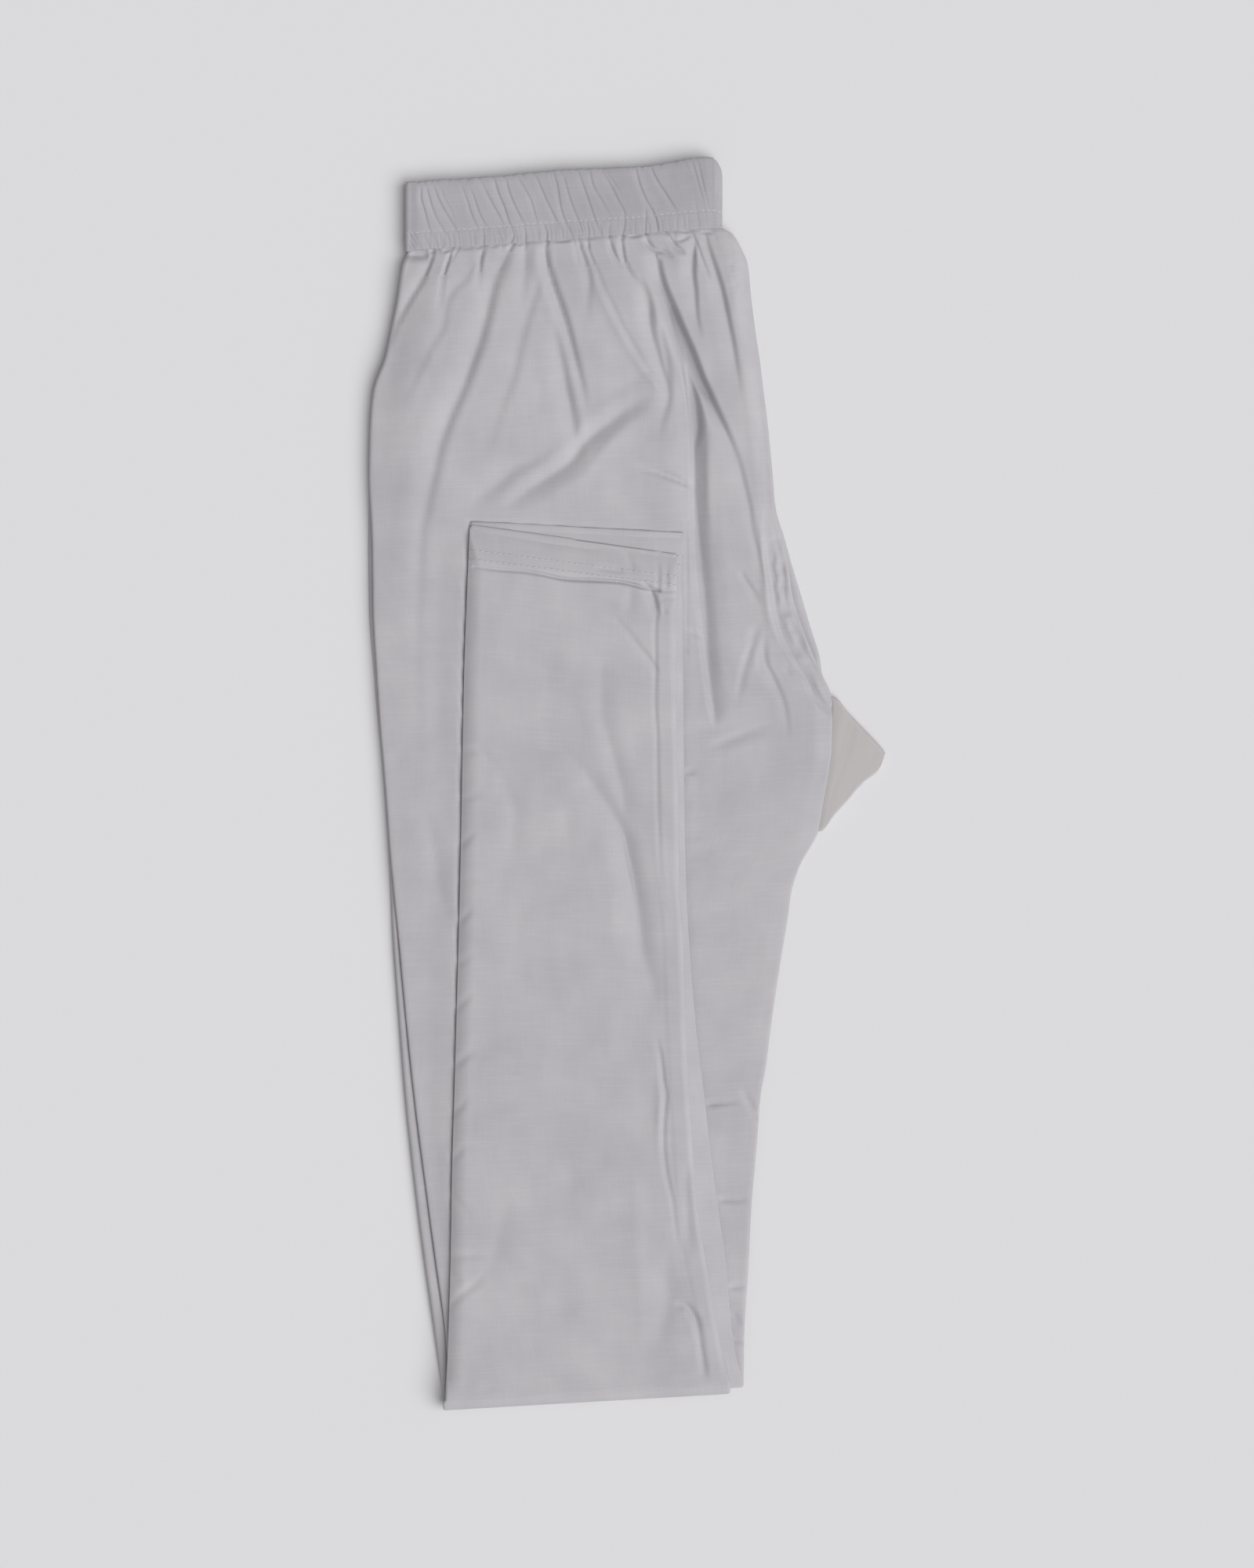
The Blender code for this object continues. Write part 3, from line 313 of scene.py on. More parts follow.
thigh = {
    # y, left leg, right leg
    "outer": [(271, -111.6, -111.4), (264, -114.4, -114.0), (248, -116.8, -116.4), (232, -120.0, -119.4),
              (216, -123.6, -123.0), (208, -126.8, -126.0), (200, -129.2, -128.4), (184, -130.8, -130.0),
              (160, -131.4, -131.6), (120, -129.8, -131.6), (88, -129.4, -131.2), (56, -127.6, -128.8),
              (40, -126.6, -127.6), (0, -123.3, -124.0), (-40, -120.3, -121.3), (-80, -116.3, -119.2),
              (-120, -112.6, -116.3), (-160, -108.4, -113.1), (-200, -103.3, -108.8), (-240, -98.0, -103.8),
              (-280, -92.6, -98.1), (-320, -89.5, -92.8)],
    "inner": [(283, 48.4, 47.8), (280, 53.6, 52.6), (272, 58.4, 57.6), (264, 61.6, 61.0), (248, 63.2, 62.6),
              (232, 65.2, 64.6), (216, 67.6, 67.0), (200, 69.6, 69.0), (184, 71.6, 71.0), (160, 74.0, 73.6),
              (144, 75.2, 75.4), (136, 76.0, 76.8), (128, 78.2, 79.6), (112, 82.0, 84.0), (96, 84.4, 88.8),
              (80, 89.4, 93.6), (64, 95.6, 98.4), (56, 99.2, 99.6), (48, 103.0, 103.4), (41, 105.0, 105.2),
              (34, 104.8, 104.8), (18, 104.5, 104.5), (8, 103.3, 103.3), (-8, 100.5, 100.5),
              (-25, 97.3, 97.0), (-32, 93.6, 93.2), (-40, 88.8, 88.2), (-46, 86.4, 85.8), (-56, 83.6, 82.8),
              (-67, 82.2, 81.2), (-86, 79.0, 77.6), (-119, 74.0, 72.4), (-144, 70.8, 68.8),
              (-160, 68.0, 66.2), (-184, 66.2, 63.6), (-216, 63.4, 60.6), (-248, 61.8, 57.8),
              (-280, 59.8, 55.2), (-305, 59.4, 52.6)],
    # down from the waist: top of the right thigh, top of the left thigh at its edges, its crown
    "heights": [(0, 4.00, 8.30, 9.5), (8, 4.00, 8.20, 10.4), (20, 3.95, 8.20, 11.8), (38, 3.85, 8.00, 12.4),
                (58, 3.65, 7.60, 11.6), (83, 3.35, 7.00, 10.2), (113, 3.05, 6.50, 8.9),
                (143, 2.85, 6.10, 8.0), (183, 2.70, 5.80, 7.3), (223, 2.60, 5.60, 7.0),
                (263, 2.60, 5.55, 6.7), (343, 2.60, 5.55, 6.2), (403, 2.60, 5.55, 5.8),
                (600, 2.60, 5.55, 5.55)],
    "length": 586.0,                  # from the waist seam to the knee fold
    "crownReach": (24.0, 10.0),       # the crown is reached this far in from the outer and inner edge
    "foldReach": 1.8,                 # folds fade out over this distance from the outline
    "seamSettle": 6.0,                # the waist seam flattens the long folds over this length
    "seamHold": 0.35,                 # to this part of their depth
    "seamEdgeReach": 1.6,             # its own fine gathers fade out nearer to the outline
    "peekRise": 0.9,                  # where the right leg shows beyond the left one it stands up
    "peekReach": 1.0,
    "pressedBorder": 0.2,             # round the lower legs the thigh stays pressed
    "pressedReach": 1.4,
    "innerCloser": 1.6,               # at the inner side these are this much shorter
    "besideLegs": 1.4,                # beside them its cloth stands up by this much
    "besideReach": (16.0, 12.0),      # fading out this far from them and this near to the outline
    "thinnest": 0.6,                  # no fold goes deeper than this above the leg below
    "tuck": (1.6, 1.3),               # the waist edge runs this far under the waistband, this much lower
    "unevenness": 0.28,
    "noise": [(1, 26, 48, 3), (0.5, 9, 30, 4), (0.25, 4, 14, 5)],
    # left width, right width, then x, y, depth along each fold; a negative depth is a ridge
    "folds": [
        # overlap at the outer side
        (3, 0.9, (-98.4, 269.6, 1), (-99.6, 266.4, 1.2), (-101.6, 261.2, 1.4), (-104, 256, 1.5),
         (-108, 249.6, 1.5), (-111.6, 243.6, 1.4), (-115.2, 237.2, 1.2), (-118, 230.8, 0.9),
         (-120.4, 224, 0.5)),
        (1, 0.8, (-90, 268.8, 1.28), (-91.2, 265.2, 1.6), (-93.2, 258.4, 1.44), (-94.4, 252, 1.28),
         (-95.2, 245.6, 1.12), (-97.2, 235.2, 0)),
        (5, 1.7, (-76, 270, 0.3), (-80.8, 258.4, 0.6), (-88.4, 250.8, 0.8), (-92, 243.6, 0.9),
         (-93.6, 232.8, 0.9), (-99.6, 222.4, 0.8), (-104, 213.6, 0.7), (-108.4, 204.4, 0.5),
         (-113.6, 195.2, 0)),
        (1.8, 1.3, (-72.8, 277.2, 1.2), (-73.2, 272.8, 1.5), (-74.4, 267.6, 1.5), (-74.8, 262.4, 1.2),
         (-75.2, 252, 0.7), (-74, 244, 0)),
        # main fold of the outer thigh
        (5.4, 2.4, (-57.2, 277.6, 0.64), (-60.4, 271.2, 0.96), (-63.2, 265.2, 1.28), (-66, 259.2, 1.6),
         (-68.8, 250.4, 2), (-71.6, 238, 2.24), (-75.2, 225.2, 2.4), (-80, 211.6, 2.4),
         (-84.8, 198.8, 2.32), (-88.8, 190, 2.16), (-92.8, 180, 2.08), (-96, 170, 1.92), (-98, 160, 1.76),
         (-100.8, 148, 1.52), (-103.2, 136, 1.28), (-104.8, 128, 1.04), (-106.4, 96, 0.64),
         (-106.8, 40, 0.32), (-106.4, 0, 0)),
        (3.2, 3, (-51.6, 278.8, 0.9), (-52, 270, 1.2), (-52, 261.2, 1.2), (-52.8, 248, 0.8),
         (-53.6, 236, 0)),
        (6, 1.8, (-42, 262.4, 0.4), (-47.2, 247.6, 0.8), (-51.2, 235.2, 0.9), (-54.4, 223.6, 0.9),
         (-57.6, 208.8, 0.8), (-63.6, 192.8, 0.6), (-67.2, 181.6, 0.4), (-71.2, 168, 0)),
        # second big fold
        (2.6, 1.6, (-42, 278.8, 1.32), (-41.6, 270, 1.92), (-40.4, 262.4, 2.64), (-37.6, 253.2, 3.36),
         (-34.4, 244, 3.6), (-30.8, 232.8, 3.24), (-27.2, 218.8, 2.52), (-24, 206, 1.68),
         (-22.4, 198, 0.96), (-21.2, 188, 0)),
        (4.2, 2.4, (-36.8, 234, 0.3), (-35.2, 226, 1.5), (-32.8, 212.8, 2.4), (-31.2, 202.4, 2.55),
         (-29.2, 192.8, 2.4), (-27.2, 182.4, 1.8), (-25.6, 172, 0.9), (-24.8, 164, 0)),
        (2.4, 1.6, (-25.2, 274.4, 1), (-22.4, 268, 1.6), (-20, 260.8, 1.4), (-19.2, 255.2, 1.1),
         (-20, 244, 0.6), (-20.8, 232, 0)),
        # thin crease and its bright edge
        (1, 0.8, (-20.8, 278, 0.7), (-19.2, 270, 0.8), (-16, 262.4, 0.9), (-12.4, 253.2, 0.9),
         (-7.2, 242.4, 0.8), (-2, 232, 0.8), (3.6, 222.4, 0.8), (9.6, 212.8, 0.8), (15.6, 205.6, 0.7),
         (18, 201.6, 0)),
        (1.6, 1, (-19.2, 264, 0), (-15.6, 252.8, -0.5), (-10.8, 242.4, -0.7), (-5.2, 231.6, -0.7),
         (0.4, 221.6, -0.7), (6.8, 212, -0.7), (13.2, 204.4, -0.7), (17.2, 200, -0.4), (20, 196.8, 0)),
        (1.4, 1.1, (-9.2, 278.8, 1.44), (-8.4, 274, 1.68), (-6, 268, 1.44), (-2.8, 264, 0.96),
         (-0.4, 260.8, 0)),
        (1.3, 0.9, (-1.6, 281.6, 1.08), (-2.8, 277.2, 1.32), (-2.4, 272, 1.44), (-1.2, 265.6, 1.56),
         (1.6, 259.2, 1.56), (5.6, 254.8, 1.32), (8.4, 253.2, 0.96), (11.6, 251.6, 0)),
        (3.4, 2.4, (6.4, 255.2, 0.91), (8.8, 251.2, 1.69), (10.8, 244, 2.21), (11.2, 235.2, 2.21),
         (12.8, 226.8, 2.08), (15.2, 219.2, 1.95), (17.6, 210.8, 1.95), (20, 203.6, 1.95),
         (20.8, 196, 1.56), (18.4, 187.6, 1.04), (17.2, 182.4, 0.52), (16.8, 176, 0)),
        (3, 2.4, (17.2, 236, 0), (17.6, 230, 0.78), (20, 216, 1.17), (20.8, 208, 0.91), (21.6, 198, 0)),
        (1.4, 1.2, (9.2, 280.8, 1.69), (10.4, 275.6, 1.95), (14, 271.6, 1.82), (18.4, 270.8, 1.43),
         (21.2, 268.8, 0.91), (24, 267.2, 0)),
        (1.4, 1.2, (18.4, 281.6, 1.56), (21.6, 278, 1.82), (24.8, 273.2, 1.69), (28, 270.8, 1.43),
         (31.2, 268.4, 0)),
        # deepest fold, soft at the left and sharp at the right; where it is deeper its floor is wider
        (4, 1.3, (15.6, 265.6, 1.8), (16.8, 259.2, 3.4), (19.2, 251.2, 5), (22.8, 242.4, 7),
         (26, 234.4, 9.5), (29.2, 226.8, 12), (32.4, 219.2, 14), (34.8, 212.8, 14), (37.6, 206, 11),
         (40.8, 199.6, 7.5), (43.6, 193.6, 5.2), (46.8, 186.8, 3.8), (50, 180, 2.4), (54.4, 169.6, 1.2),
         (58.4, 156.8, 0.9), (61.2, 146, 0.8), (63.2, 134, 0.7), (66, 118, 0)),
        # and straight down beside the lower legs: a steep wall at the left, a long slope at the right
        (1.3, 3.6, (28, 220.8, 0), (29.2, 214.4, 4.5), (30.4, 207.2, 8), (31.6, 200, 10.5), (32.8, 192, 12),
         (33.6, 182, 11), (33.6, 172, 5), (33.6, 160, 3.8), (33.6, 150, 3.8), (33.6, 142, 4.2),
         (34, 134, 4.6), (34.4, 120, 4.9), (35.6, 104, 4.6), (36.8, 92, 4.4), (38.4, 76, 4.1),
         (40, 62, 3.7), (41.6, 50, 3.1), (43.2, 40, 2.4), (44.4, 33.2, 1.4), (45.2, 28, 0)),
        # the thigh dips along the inseams of the lower legs
        (0.8, 0.9, (30.4, 132.8, 1.3), (30.4, 124, 1.4), (30.4, 108, 1.1), (30.4, 84, 0.9), (30.4, 56, 0.5),
         (30.4, 28, 0)),
        # gentle slope down to it from the left
        (6, 0.8, (29.2, 212, 0), (30.8, 200, 1.4), (32.4, 184, 2.2), (33.6, 172, 2.6), (33.6, 156, 2.6),
         (33.6, 140, 2.3), (34.8, 118, 1.8), (36, 96, 1.4), (38.4, 72, 1), (41.6, 48, 0.4), (43.2, 40, 0)),
        # long slope down to the right of it
        (1, 6, (33.6, 184, 0), (34, 174, 3), (34, 160, 4.2), (34, 148, 4.2), (34.4, 138, 4),
         (35.2, 128, 3.7), (37.2, 104, 3.8), (38.8, 84, 3.8), (40.8, 64, 3), (43.2, 48, 1.9),
         (45.2, 34, 0)),
        # its upper edge at the right
        (2.4, 4, (40.8, 180, 0), (41.2, 171.2, -0.8), (41.2, 160, -0.9), (41.2, 150, -0.9),
         (41.6, 142, -0.7), (42.4, 134, -0.4), (43.2, 124, 0)),
        # narrow pleat
        (3.5, 1.1, (34.4, 275.2, 1.2), (34, 270, 1.94), (33.6, 264, 2.4), (33.6, 258, 2.26),
         (34.4, 251.2, 1.8), (34.8, 244, 1.5), (35.6, 235.2, 1.06), (38, 226, 0)),
        (1.2, 0.9, (33.6, 278.8, 0.88), (36.4, 272, 1.12), (38.8, 264.8, 1.38), (41.2, 259.6, 1.38),
         (43.6, 255.6, 0)),
        (3.6, 1.1, (39.2, 280, 0.36), (41.2, 272.8, 1.01), (43.2, 266.4, 1.58), (45.6, 259.2, 2.09),
         (48, 251.2, 2.3), (50, 242, 2.16), (51.6, 234, 1.87), (53.6, 224, 1.44), (55.2, 214, 1.01),
         (56.8, 204, 0.43), (57.6, 196, 0)),
        # the cloth stands up a little along the rise
        (11, 1.6, (52, 280, -0.6), (54.8, 272.8, -1.4), (57.2, 262, -2), (59.2, 250, -2.2),
         (60.8, 234, -2.2), (62.4, 218, -2), (64, 202, -1.6), (66, 186, -1), (68, 170, 0)),
        # diagonal fold above the hems
        (3.4, 4, (10, 196.4, 0.31), (3.6, 192.8, 1.27), (-2, 189.6, 1.89), (-10, 183.6, 2.38),
         (-18, 177.6, 2.85), (-24, 171.6, 3), (-28, 165.6, 3), (-34, 160.8, 2.85), (-42, 155.6, 2.52),
         (-48, 151.6, 2.05), (-53.6, 147.6, 1.42), (-58.8, 143.2, 0.8), (-62.8, 140.4, 0)),
        (2.4, 6, (15.2, 196.8, 0), (9.6, 189.6, -0.4), (0.8, 182.8, -0.6), (-8, 174.8, -0.7),
         (-14.4, 166.8, -0.7), (-21.2, 157.6, -0.6), (-30.4, 151.6, -0.5), (-39.2, 146, -0.3),
         (-47.2, 140.8, 0)),
        (6, 3.6, (-44, 166, 0.6), (-58, 160, 1.32), (-64, 154, 1.32), (-72, 148, 0.96), (-78, 144, 0.48),
         (-82, 140.8, 0)),
        (1.3, 1.9, (2.4, 160.8, 0), (8.8, 160, 0.9), (15.2, 158.4, 1.7), (21.2, 156.4, 2.4), (27.2, 154, 3),
         (31.2, 152.4, 3), (33.6, 151.2, 2.4)),
        (5, 5, (-12, 198, 0), (0, 204, 0.7), (8, 208, 0.7), (14, 212, 0)),
        (1.6, 1.6, (30.4, 78.4, 0.4), (33.6, 77.2, 1.5), (37.2, 75.6, 1.8), (40.4, 74, 0.9)),
        # rise seam allowance
        (2.2, 2, (68, 132, 0), (68.4, 126, -0.6), (69.2, 116.4, -1), (70.4, 103.6, -1.2),
         (71.2, 92.4, -1.2), (73.2, 81.2, -0.9), (76.8, 73.6, -0.4), (79.2, 69.6, 0)),
        # and the lower ground right of it
        (0.9, 6.5, (69.6, 131.2, 0.9), (70.4, 121.2, 1.8), (70.8, 115.2, 2.2), (72.4, 106.4, 2.4),
         (74, 98, 2.5), (75.2, 89.2, 2.4), (76.8, 81.6, 2.3), (78.8, 74.4, 2), (81.6, 69.6, 1.8),
         (85.2, 63.2, 1.7), (87.6, 57.2, 1.7), (92, 52, 1.8), (94.8, 45.2, 1.8), (99.2, 40, 1.5),
         (104.4, 34.4, 0.3)),
        # sharp crease down to the gusset
        (0.9, 2.4, (84, 65.6, 0), (88, 58, 1.6), (91.2, 52.8, 2.2), (94.4, 45.2, 2.3), (98.4, 40, 1.7),
         (101.6, 36.4, 0)),
        # crumpled seam allowance
        (1, 1.3, (74.8, 119.2, -0.3), (76.4, 115.2, -1), (75.6, 110.4, -0.9), (77.2, 105.2, -1.2),
         (76.4, 100, -0.9), (78, 95.2, -1.2), (77.6, 89.6, -0.4)),
        (1.2, 1, (80, 113.6, -0.2), (81.2, 108, -0.8), (81.6, 102, -0.9), (82, 96, -0.8), (82.8, 92, -0.1)),
        (1.2, 1.2, (78.4, 85.6, -0.3), (80.8, 84, -1.1), (83.2, 84.8, -1.2), (84.8, 82.4, -0.4)),
        (1.3, 1.3, (84.8, 64.8, -0.3), (87.2, 63.6, -1.1), (89.6, 64, -1.2), (91.6, 62.8, -0.4)),
        (1.2, 1.2, (88.8, 80, -0.2), (90.4, 75.2, -0.9), (91.6, 70.4, -0.9), (92.8, 66.4, -0.3)),
        (1, 1, (81.6, 120, 0.4), (82.4, 115.2, 1.2), (82.8, 110, 1.3), (83.6, 102.4, 1.3), (84, 93.6, 1.2),
         (84.8, 89.2, 1.1), (87.2, 84.8, 1), (89.2, 80.4, 0.2)),
        (1.4, 1, (74.8, 140, 0.2), (75.2, 132.8, 0.7), (76.8, 126.4, 1.1), (78.8, 122.8, 0.9)),
        (1.2, 1, (71.2, 118.4, 0.7), (72.8, 122.4, 1.1), (75.2, 124.8, 1), (77.2, 126.4, 0.4)),
        (0.9, 0.9, (76.4, 111.2, 0.2), (77.6, 108, 1), (76.8, 104.8, 0.9), (78.4, 101.6, 1.1),
         (77.2, 98, 1), (78.8, 94.8, 1.1), (78, 91.2, 0.9), (79.6, 88.4, 0.2)),
        (0.9, 0.9, (73.6, 120, 0.2), (75.2, 115.2, 1), (74, 111.2, 0.8), (76, 106.4, 1),
         (75.2, 101.6, 0.8)),
        (1, 1, (79.6, 120, 0.3), (80.4, 114.4, 0.9), (79.6, 108.8, 0.7), (80.8, 103.2, 0.9),
         (80.4, 97.2, 0.7), (81.2, 92.8, 0.1)),
        (1.4, 1, (79.2, 87.6, 0.3), (81.6, 89.2, 0.9), (84.4, 88.4, 0.9), (86.4, 85.2, 0.9),
         (87.2, 82.4, 0.2)),
        (1, 1.4, (82.4, 83.2, -0.2), (81.6, 80, -0.8), (83.2, 76.8, -0.6), (84.8, 73.2, -0.7),
         (86.4, 71.2, -0.1)),
        (0.9, 0.9, (86, 75.2, 0.3), (87.2, 72, 0.9), (86.4, 68.8, 0.8), (88, 66.4, 0.3)),
        (1, 1, (91.2, 64.8, 0.3), (93.2, 62.8, 1.2), (95.2, 61.2, 1.3), (97.2, 61.6, 0.8)),
        (0.9, 0.9, (81.2, 61.6, 0.2), (82.8, 60, 0.9), (84.8, 59.2, 1), (86, 57.2, 0.3)),
        (0.9, 0.9, (80, 59.2, 0.2), (81.6, 57.6, 0.8), (83.2, 55.6, 0.2)),
        (1.1, 0.9, (98.4, 53.6, 0.3), (100.4, 49.6, 1), (102.8, 45.6, 1), (105.6, 42.4, 0.9),
         (108, 41.2, 0.2)),
        (1, 1.2, (94.4, 56, -0.2), (96.4, 51.2, -0.7), (98.8, 46.4, -0.8), (101.6, 42, -0.7),
         (104, 39.2, -0.1)),
        # line that comes down from the deepest fold
        (1.8, 1.2, (53.6, 177.6, 0), (57.2, 163.2, 0.6), (59.6, 150.4, 0.8), (62.4, 139.2, 0.8),
         (63.6, 128.4, 0.7), (66.4, 118, 0.6), (69.2, 103.6, 0.3), (69.6, 98, 0)),
        (1.4, 1.2, (57.6, 108.4, 0), (58.8, 105.6, 0.84), (62, 100.8, 1.26), (65.6, 95.6, 0.7),
         (67.2, 92.8, 0)),
        # fan at the crotch
        (1.2, 2, (67.2, 78.8, 0.2), (65.2, 76, 0.9), (63.2, 70.4, 1.2), (60.8, 64, 1.2), (58.8, 56.8, 1.1),
         (57.2, 49.6, 0.8), (56, 44, 0.2)),
        (2.4, 1.2, (70.4, 75.2, 0.2), (70, 68, 1), (70.8, 60.8, 1.3), (73.6, 55.6, 1.2), (76.4, 49.6, 1.1),
         (78.8, 44, 0.9), (80.4, 38.4, 0.75), (81.6, 31.2, 0.5), (82.4, 24, 0.1)),
        (1.4, 1.2, (67.6, 80.4, 0.2), (64.8, 77.6, 0.8), (62, 73.6, 0.8), (60.4, 71.6, 0.1)),
        (1.6, 1.2, (68.4, 72.8, 0.2), (67.6, 66.4, 0.7), (68, 60, 0.7), (68.8, 55.2, 0.1)),
        (3, 3, (40, 16.8, 0), (44.8, 20, 0.8), (50.8, 22.4, 1.3), (56, 24.4, 1.4), (66, 28, 0.8),
         (74, 30, 0)),
        (5, 5, (33.6, 28, 0.6), (40, 27.2, 1), (50, 28, 1), (62, 31.2, 0.5), (70, 32.8, 0)),
        # strip beside the lower legs
        (1.3, 1.3, (27.2, 6.4, 1.4), (32, 6.4, 1.4), (36, 6.8, 0)),
        (1.2, 1.2, (28.4, -34.4, 1.5), (34, -34.4, 1.5), (39.6, -34.8, 1.2), (44.8, -35.2, 0)),
        (1.3, 1, (36, -163.6, 1.3), (42, -162.8, 1.8), (48, -162, 1.5), (54.4, -161.6, 0.8),
         (56.8, -161.6, 0.2)),
        (1.3, 1.1, (58.4, -154.4, 0), (60.4, -158.4, 1.3), (63.2, -164, 1.6), (66.4, -169.2, 1.2)),
        (1.2, 1.2, (31.2, -183.6, 0.8), (36, -183.2, 0.9), (39.2, -183.2, 0)),
        (1.3, 1.2, (42, -212, 1), (50, -211.6, 1.3), (59.2, -211.6, 0.9)),
        (1.3, 1.2, (47.2, -256.4, 1.1), (54, -256, 1.4), (59.2, -255.6, 0.9)),
        (1.3, 1.2, (48.8, -266.8, 1.2), (54.4, -270.8, 1.5), (57.6, -274, 1.1)),
        (1.2, 1.2, (52, -281.2, 1.1), (56, -283.2, 1.3), (59.2, -284, 0.9)),
        # outer strip
        (4, 3, (-105.6, -6, 0), (-101.2, -21.2, 0.5), (-97.2, -36.4, 0.6), (-96, -52, 0.6), (-92, -64, 0.5),
         (-90, -75.2, 0)),
        (5, 5, (-120.8, 16.8, 0), (-118, 12, 0.5), (-115.2, 6.4, 0)),
    ],
    # fine gathers that cross the waist seam, and places where it opens
    "seamFolds": [
        (0.8, 0.7, (-108, 280.8, 0.21), (-106.8, 276.8, 0.35), (-104.8, 272.4, 0.42),
         (-104.4, 269.6, 0.14)),
        (0.8, 0.7, (-112, 285.6, 0.21), (-109.6, 280, 0.35), (-106.4, 275.2, 0.42), (-102.8, 271.6, 0.35)),
        (0.8, 0.7, (-99.6, 278.4, 0.21), (-98.8, 272.8, 0.42), (-100, 268, 0.28), (-101.6, 264.8, 0)),
        (0.7, 0.7, (-97.6, 278, 0.21), (-95.6, 271.6, 0.42), (-95.2, 268.8, 0)),
        (0.8, 0.7, (-89.6, 278, 0.21), (-88.8, 273.2, 0.42), (-90.8, 268, 0.35)),
        (0.8, 0.7, (-86, 280, 0.21), (-84.8, 274.8, 0.35), (-86.8, 270.4, 0.42), (-88.8, 266.8, 0.28),
         (-90.4, 264, 0)),
        (0.9, 0.8, (-73.2, 280.8, 0.28), (-72.8, 275.2, 0.7)),
        (0.8, 0.8, (-65.2, 280.8, 0.21), (-63.2, 276, 0.35), (-63.6, 272, 0.14)),
        (1, 0.9, (-58, 280, 0.28), (-57.2, 276, 0.7), (-59.6, 272, 0.91)),
        (1, 0.9, (-52.8, 280.8, 0.28), (-51.6, 277.2, 0.49), (-52, 272.8, 0.49)),
        (1, 0.8, (-41.6, 284.4, 0.35), (-40.8, 278, 0.7), (-40.8, 274.4, 0.91)),
        (0.9, 0.7, (-28.4, 280.4, 0.35), (-26.8, 274.4, 0.42), (-25.2, 268, 0.42), (-24.8, 262, 0)),
        (0.8, 0.7, (-26, 280, 0.28), (-23.6, 273.2, 0.56)),
        (0.8, 0.7, (-20, 284.8, 0.21), (-20, 278.8, 0.49), (-19.6, 273.2, 0.56)),
        (0.8, 0.7, (-9.6, 282.8, 0.21), (-9.2, 278.4, 0.63)),
        (1, 0.8, (-1.2, 290.8, 0.35), (-1.2, 286, 0.49), (-2, 281.2, 0.77), (-2.8, 277.2, 0.98)),
        (1, 0.8, (9.6, 296.4, 0.35), (10, 286, 0.56), (9.2, 280, 0.91)),
        (0.8, 0.7, (18, 284, 0.28), (20, 279.6, 0.7)),
        (0.8, 0.7, (23.6, 283.6, 0.28), (24, 280, 0.49), (24.4, 277.2, 0.42), (24.8, 274, 0)),
        (0.8, 0.7, (32, 284, 0.28), (33.2, 279.2, 0.7)),
        (0.8, 0.7, (37.2, 286, 0.21), (38.4, 281.6, 0.35), (40, 278.4, 0.35), (41.2, 274.8, 0)),
        (0.8, 0.7, (42, 286.8, 0.21), (43.2, 282.4, 0.35), (44.8, 278.8, 0.28), (46, 275.6, 0)),
        # the hollow at the outer end of the seam
        (2.2, 2.4, (-113.2, 269.2, 1.4), (-109.6, 269.2, 2.6), (-106, 269, 2.6), (-102.8, 268.8, 2),
         (-100.4, 268.8, 0)),
        # dashes where the seam opens
        (0.8, 0.9, (-101.6, 270.4, 0), (-99.2, 270.6, 1.2), (-96.8, 270.8, 0)),
        (0.8, 0.9, (-94.8, 270.8, 0), (-92, 271, 1.4), (-88.8, 271.2, 0)),
        (0.8, 0.9, (-86, 272, 0), (-80.8, 272.4, 0.6), (-77.6, 272.8, 0)),
        (0.8, 0.9, (-77.2, 272.8, 0.3), (-75.2, 273, 1), (-73.6, 273.2, 0)),
        (0.8, 0.8, (-70.4, 273.2, 0), (-68, 273.4, 0.6), (-65.6, 273.6, 0)),
        (0.8, 0.8, (-57.2, 274.4, 0), (-54.8, 274.6, 0.7), (-52.4, 274.8, 0)),
        (0.8, 0.9, (-38.4, 276, 0), (-35.2, 276.2, 1.3), (-31.2, 276.4, 1.4), (-27.6, 276.8, 0)),
        (0.8, 0.8, (-22.4, 277.6, 0), (-18.8, 277.6, 0.5), (-15.2, 278, 0)),
        (0.9, 1, (0, 278.4, 0), (2.4, 278.6, 1.5), (5.6, 279, 1.5), (8, 279.2, 0)),
        (0.9, 1.2, (23.2, 277.6, 0), (26.4, 276.4, 1), (30.4, 278, 1.2), (33.2, 280, 0)),
        (0.9, 1, (27.2, 280.8, 0), (30, 280.8, 1.4), (33.6, 281.2, 0)),
        (0.8, 1, (37.2, 280.4, 0), (39.6, 280.4, 1.3), (42.8, 280.4, 0.8), (44.8, 280.8, 0)),
    ],
    # the side that lies on the floor has similar folds, pressed flatter
    "underFolds": [
        (2.6, 3.4, (-101, 266, 0.7), (-104, 246, 1.1), (-110, 222, 1.2), (-116, 196, 0.8), (-119, 172, 0)),
        (3.2, 2.2, (-83, 267, 0.9), (-81, 250, 1.2), (-86, 228, 0.8), (-89, 208, 0)),
        (2.2, 3.0, (-66, 268, 0.8), (-63, 248, 1.2), (-55, 224, 1.3), (-44, 197, 0.9), (-37, 178, 0)),
        (3.0, 2.4, (-41, 270, 0.6), (-43, 252, 0.9), (-39, 236, 0.5), (-36, 224, 0)),
        (2.4, 3.6, (-22, 272, 0.9), (-17, 250, 1.2), (-19, 226, 1.3), (-27, 200, 1.0), (-33, 176, 0.4),
         (-34, 164, 0)),
        (3.4, 2.6, (2, 274, 0.7), (5, 258, 1.1), (12, 238, 1.1), (17, 216, 0.6), (19, 202, 0)),
        (2.6, 2.4, (24, 276, 0.8), (23, 256, 1.2), (29, 230, 1.3), (38, 202, 1.2), (47, 170, 0.9),
         (55, 138, 0)),
        (2.2, 2.8, (43, 277, 0.5), (45, 262, 0.8), (50, 244, 0.5), (52, 232, 0)),
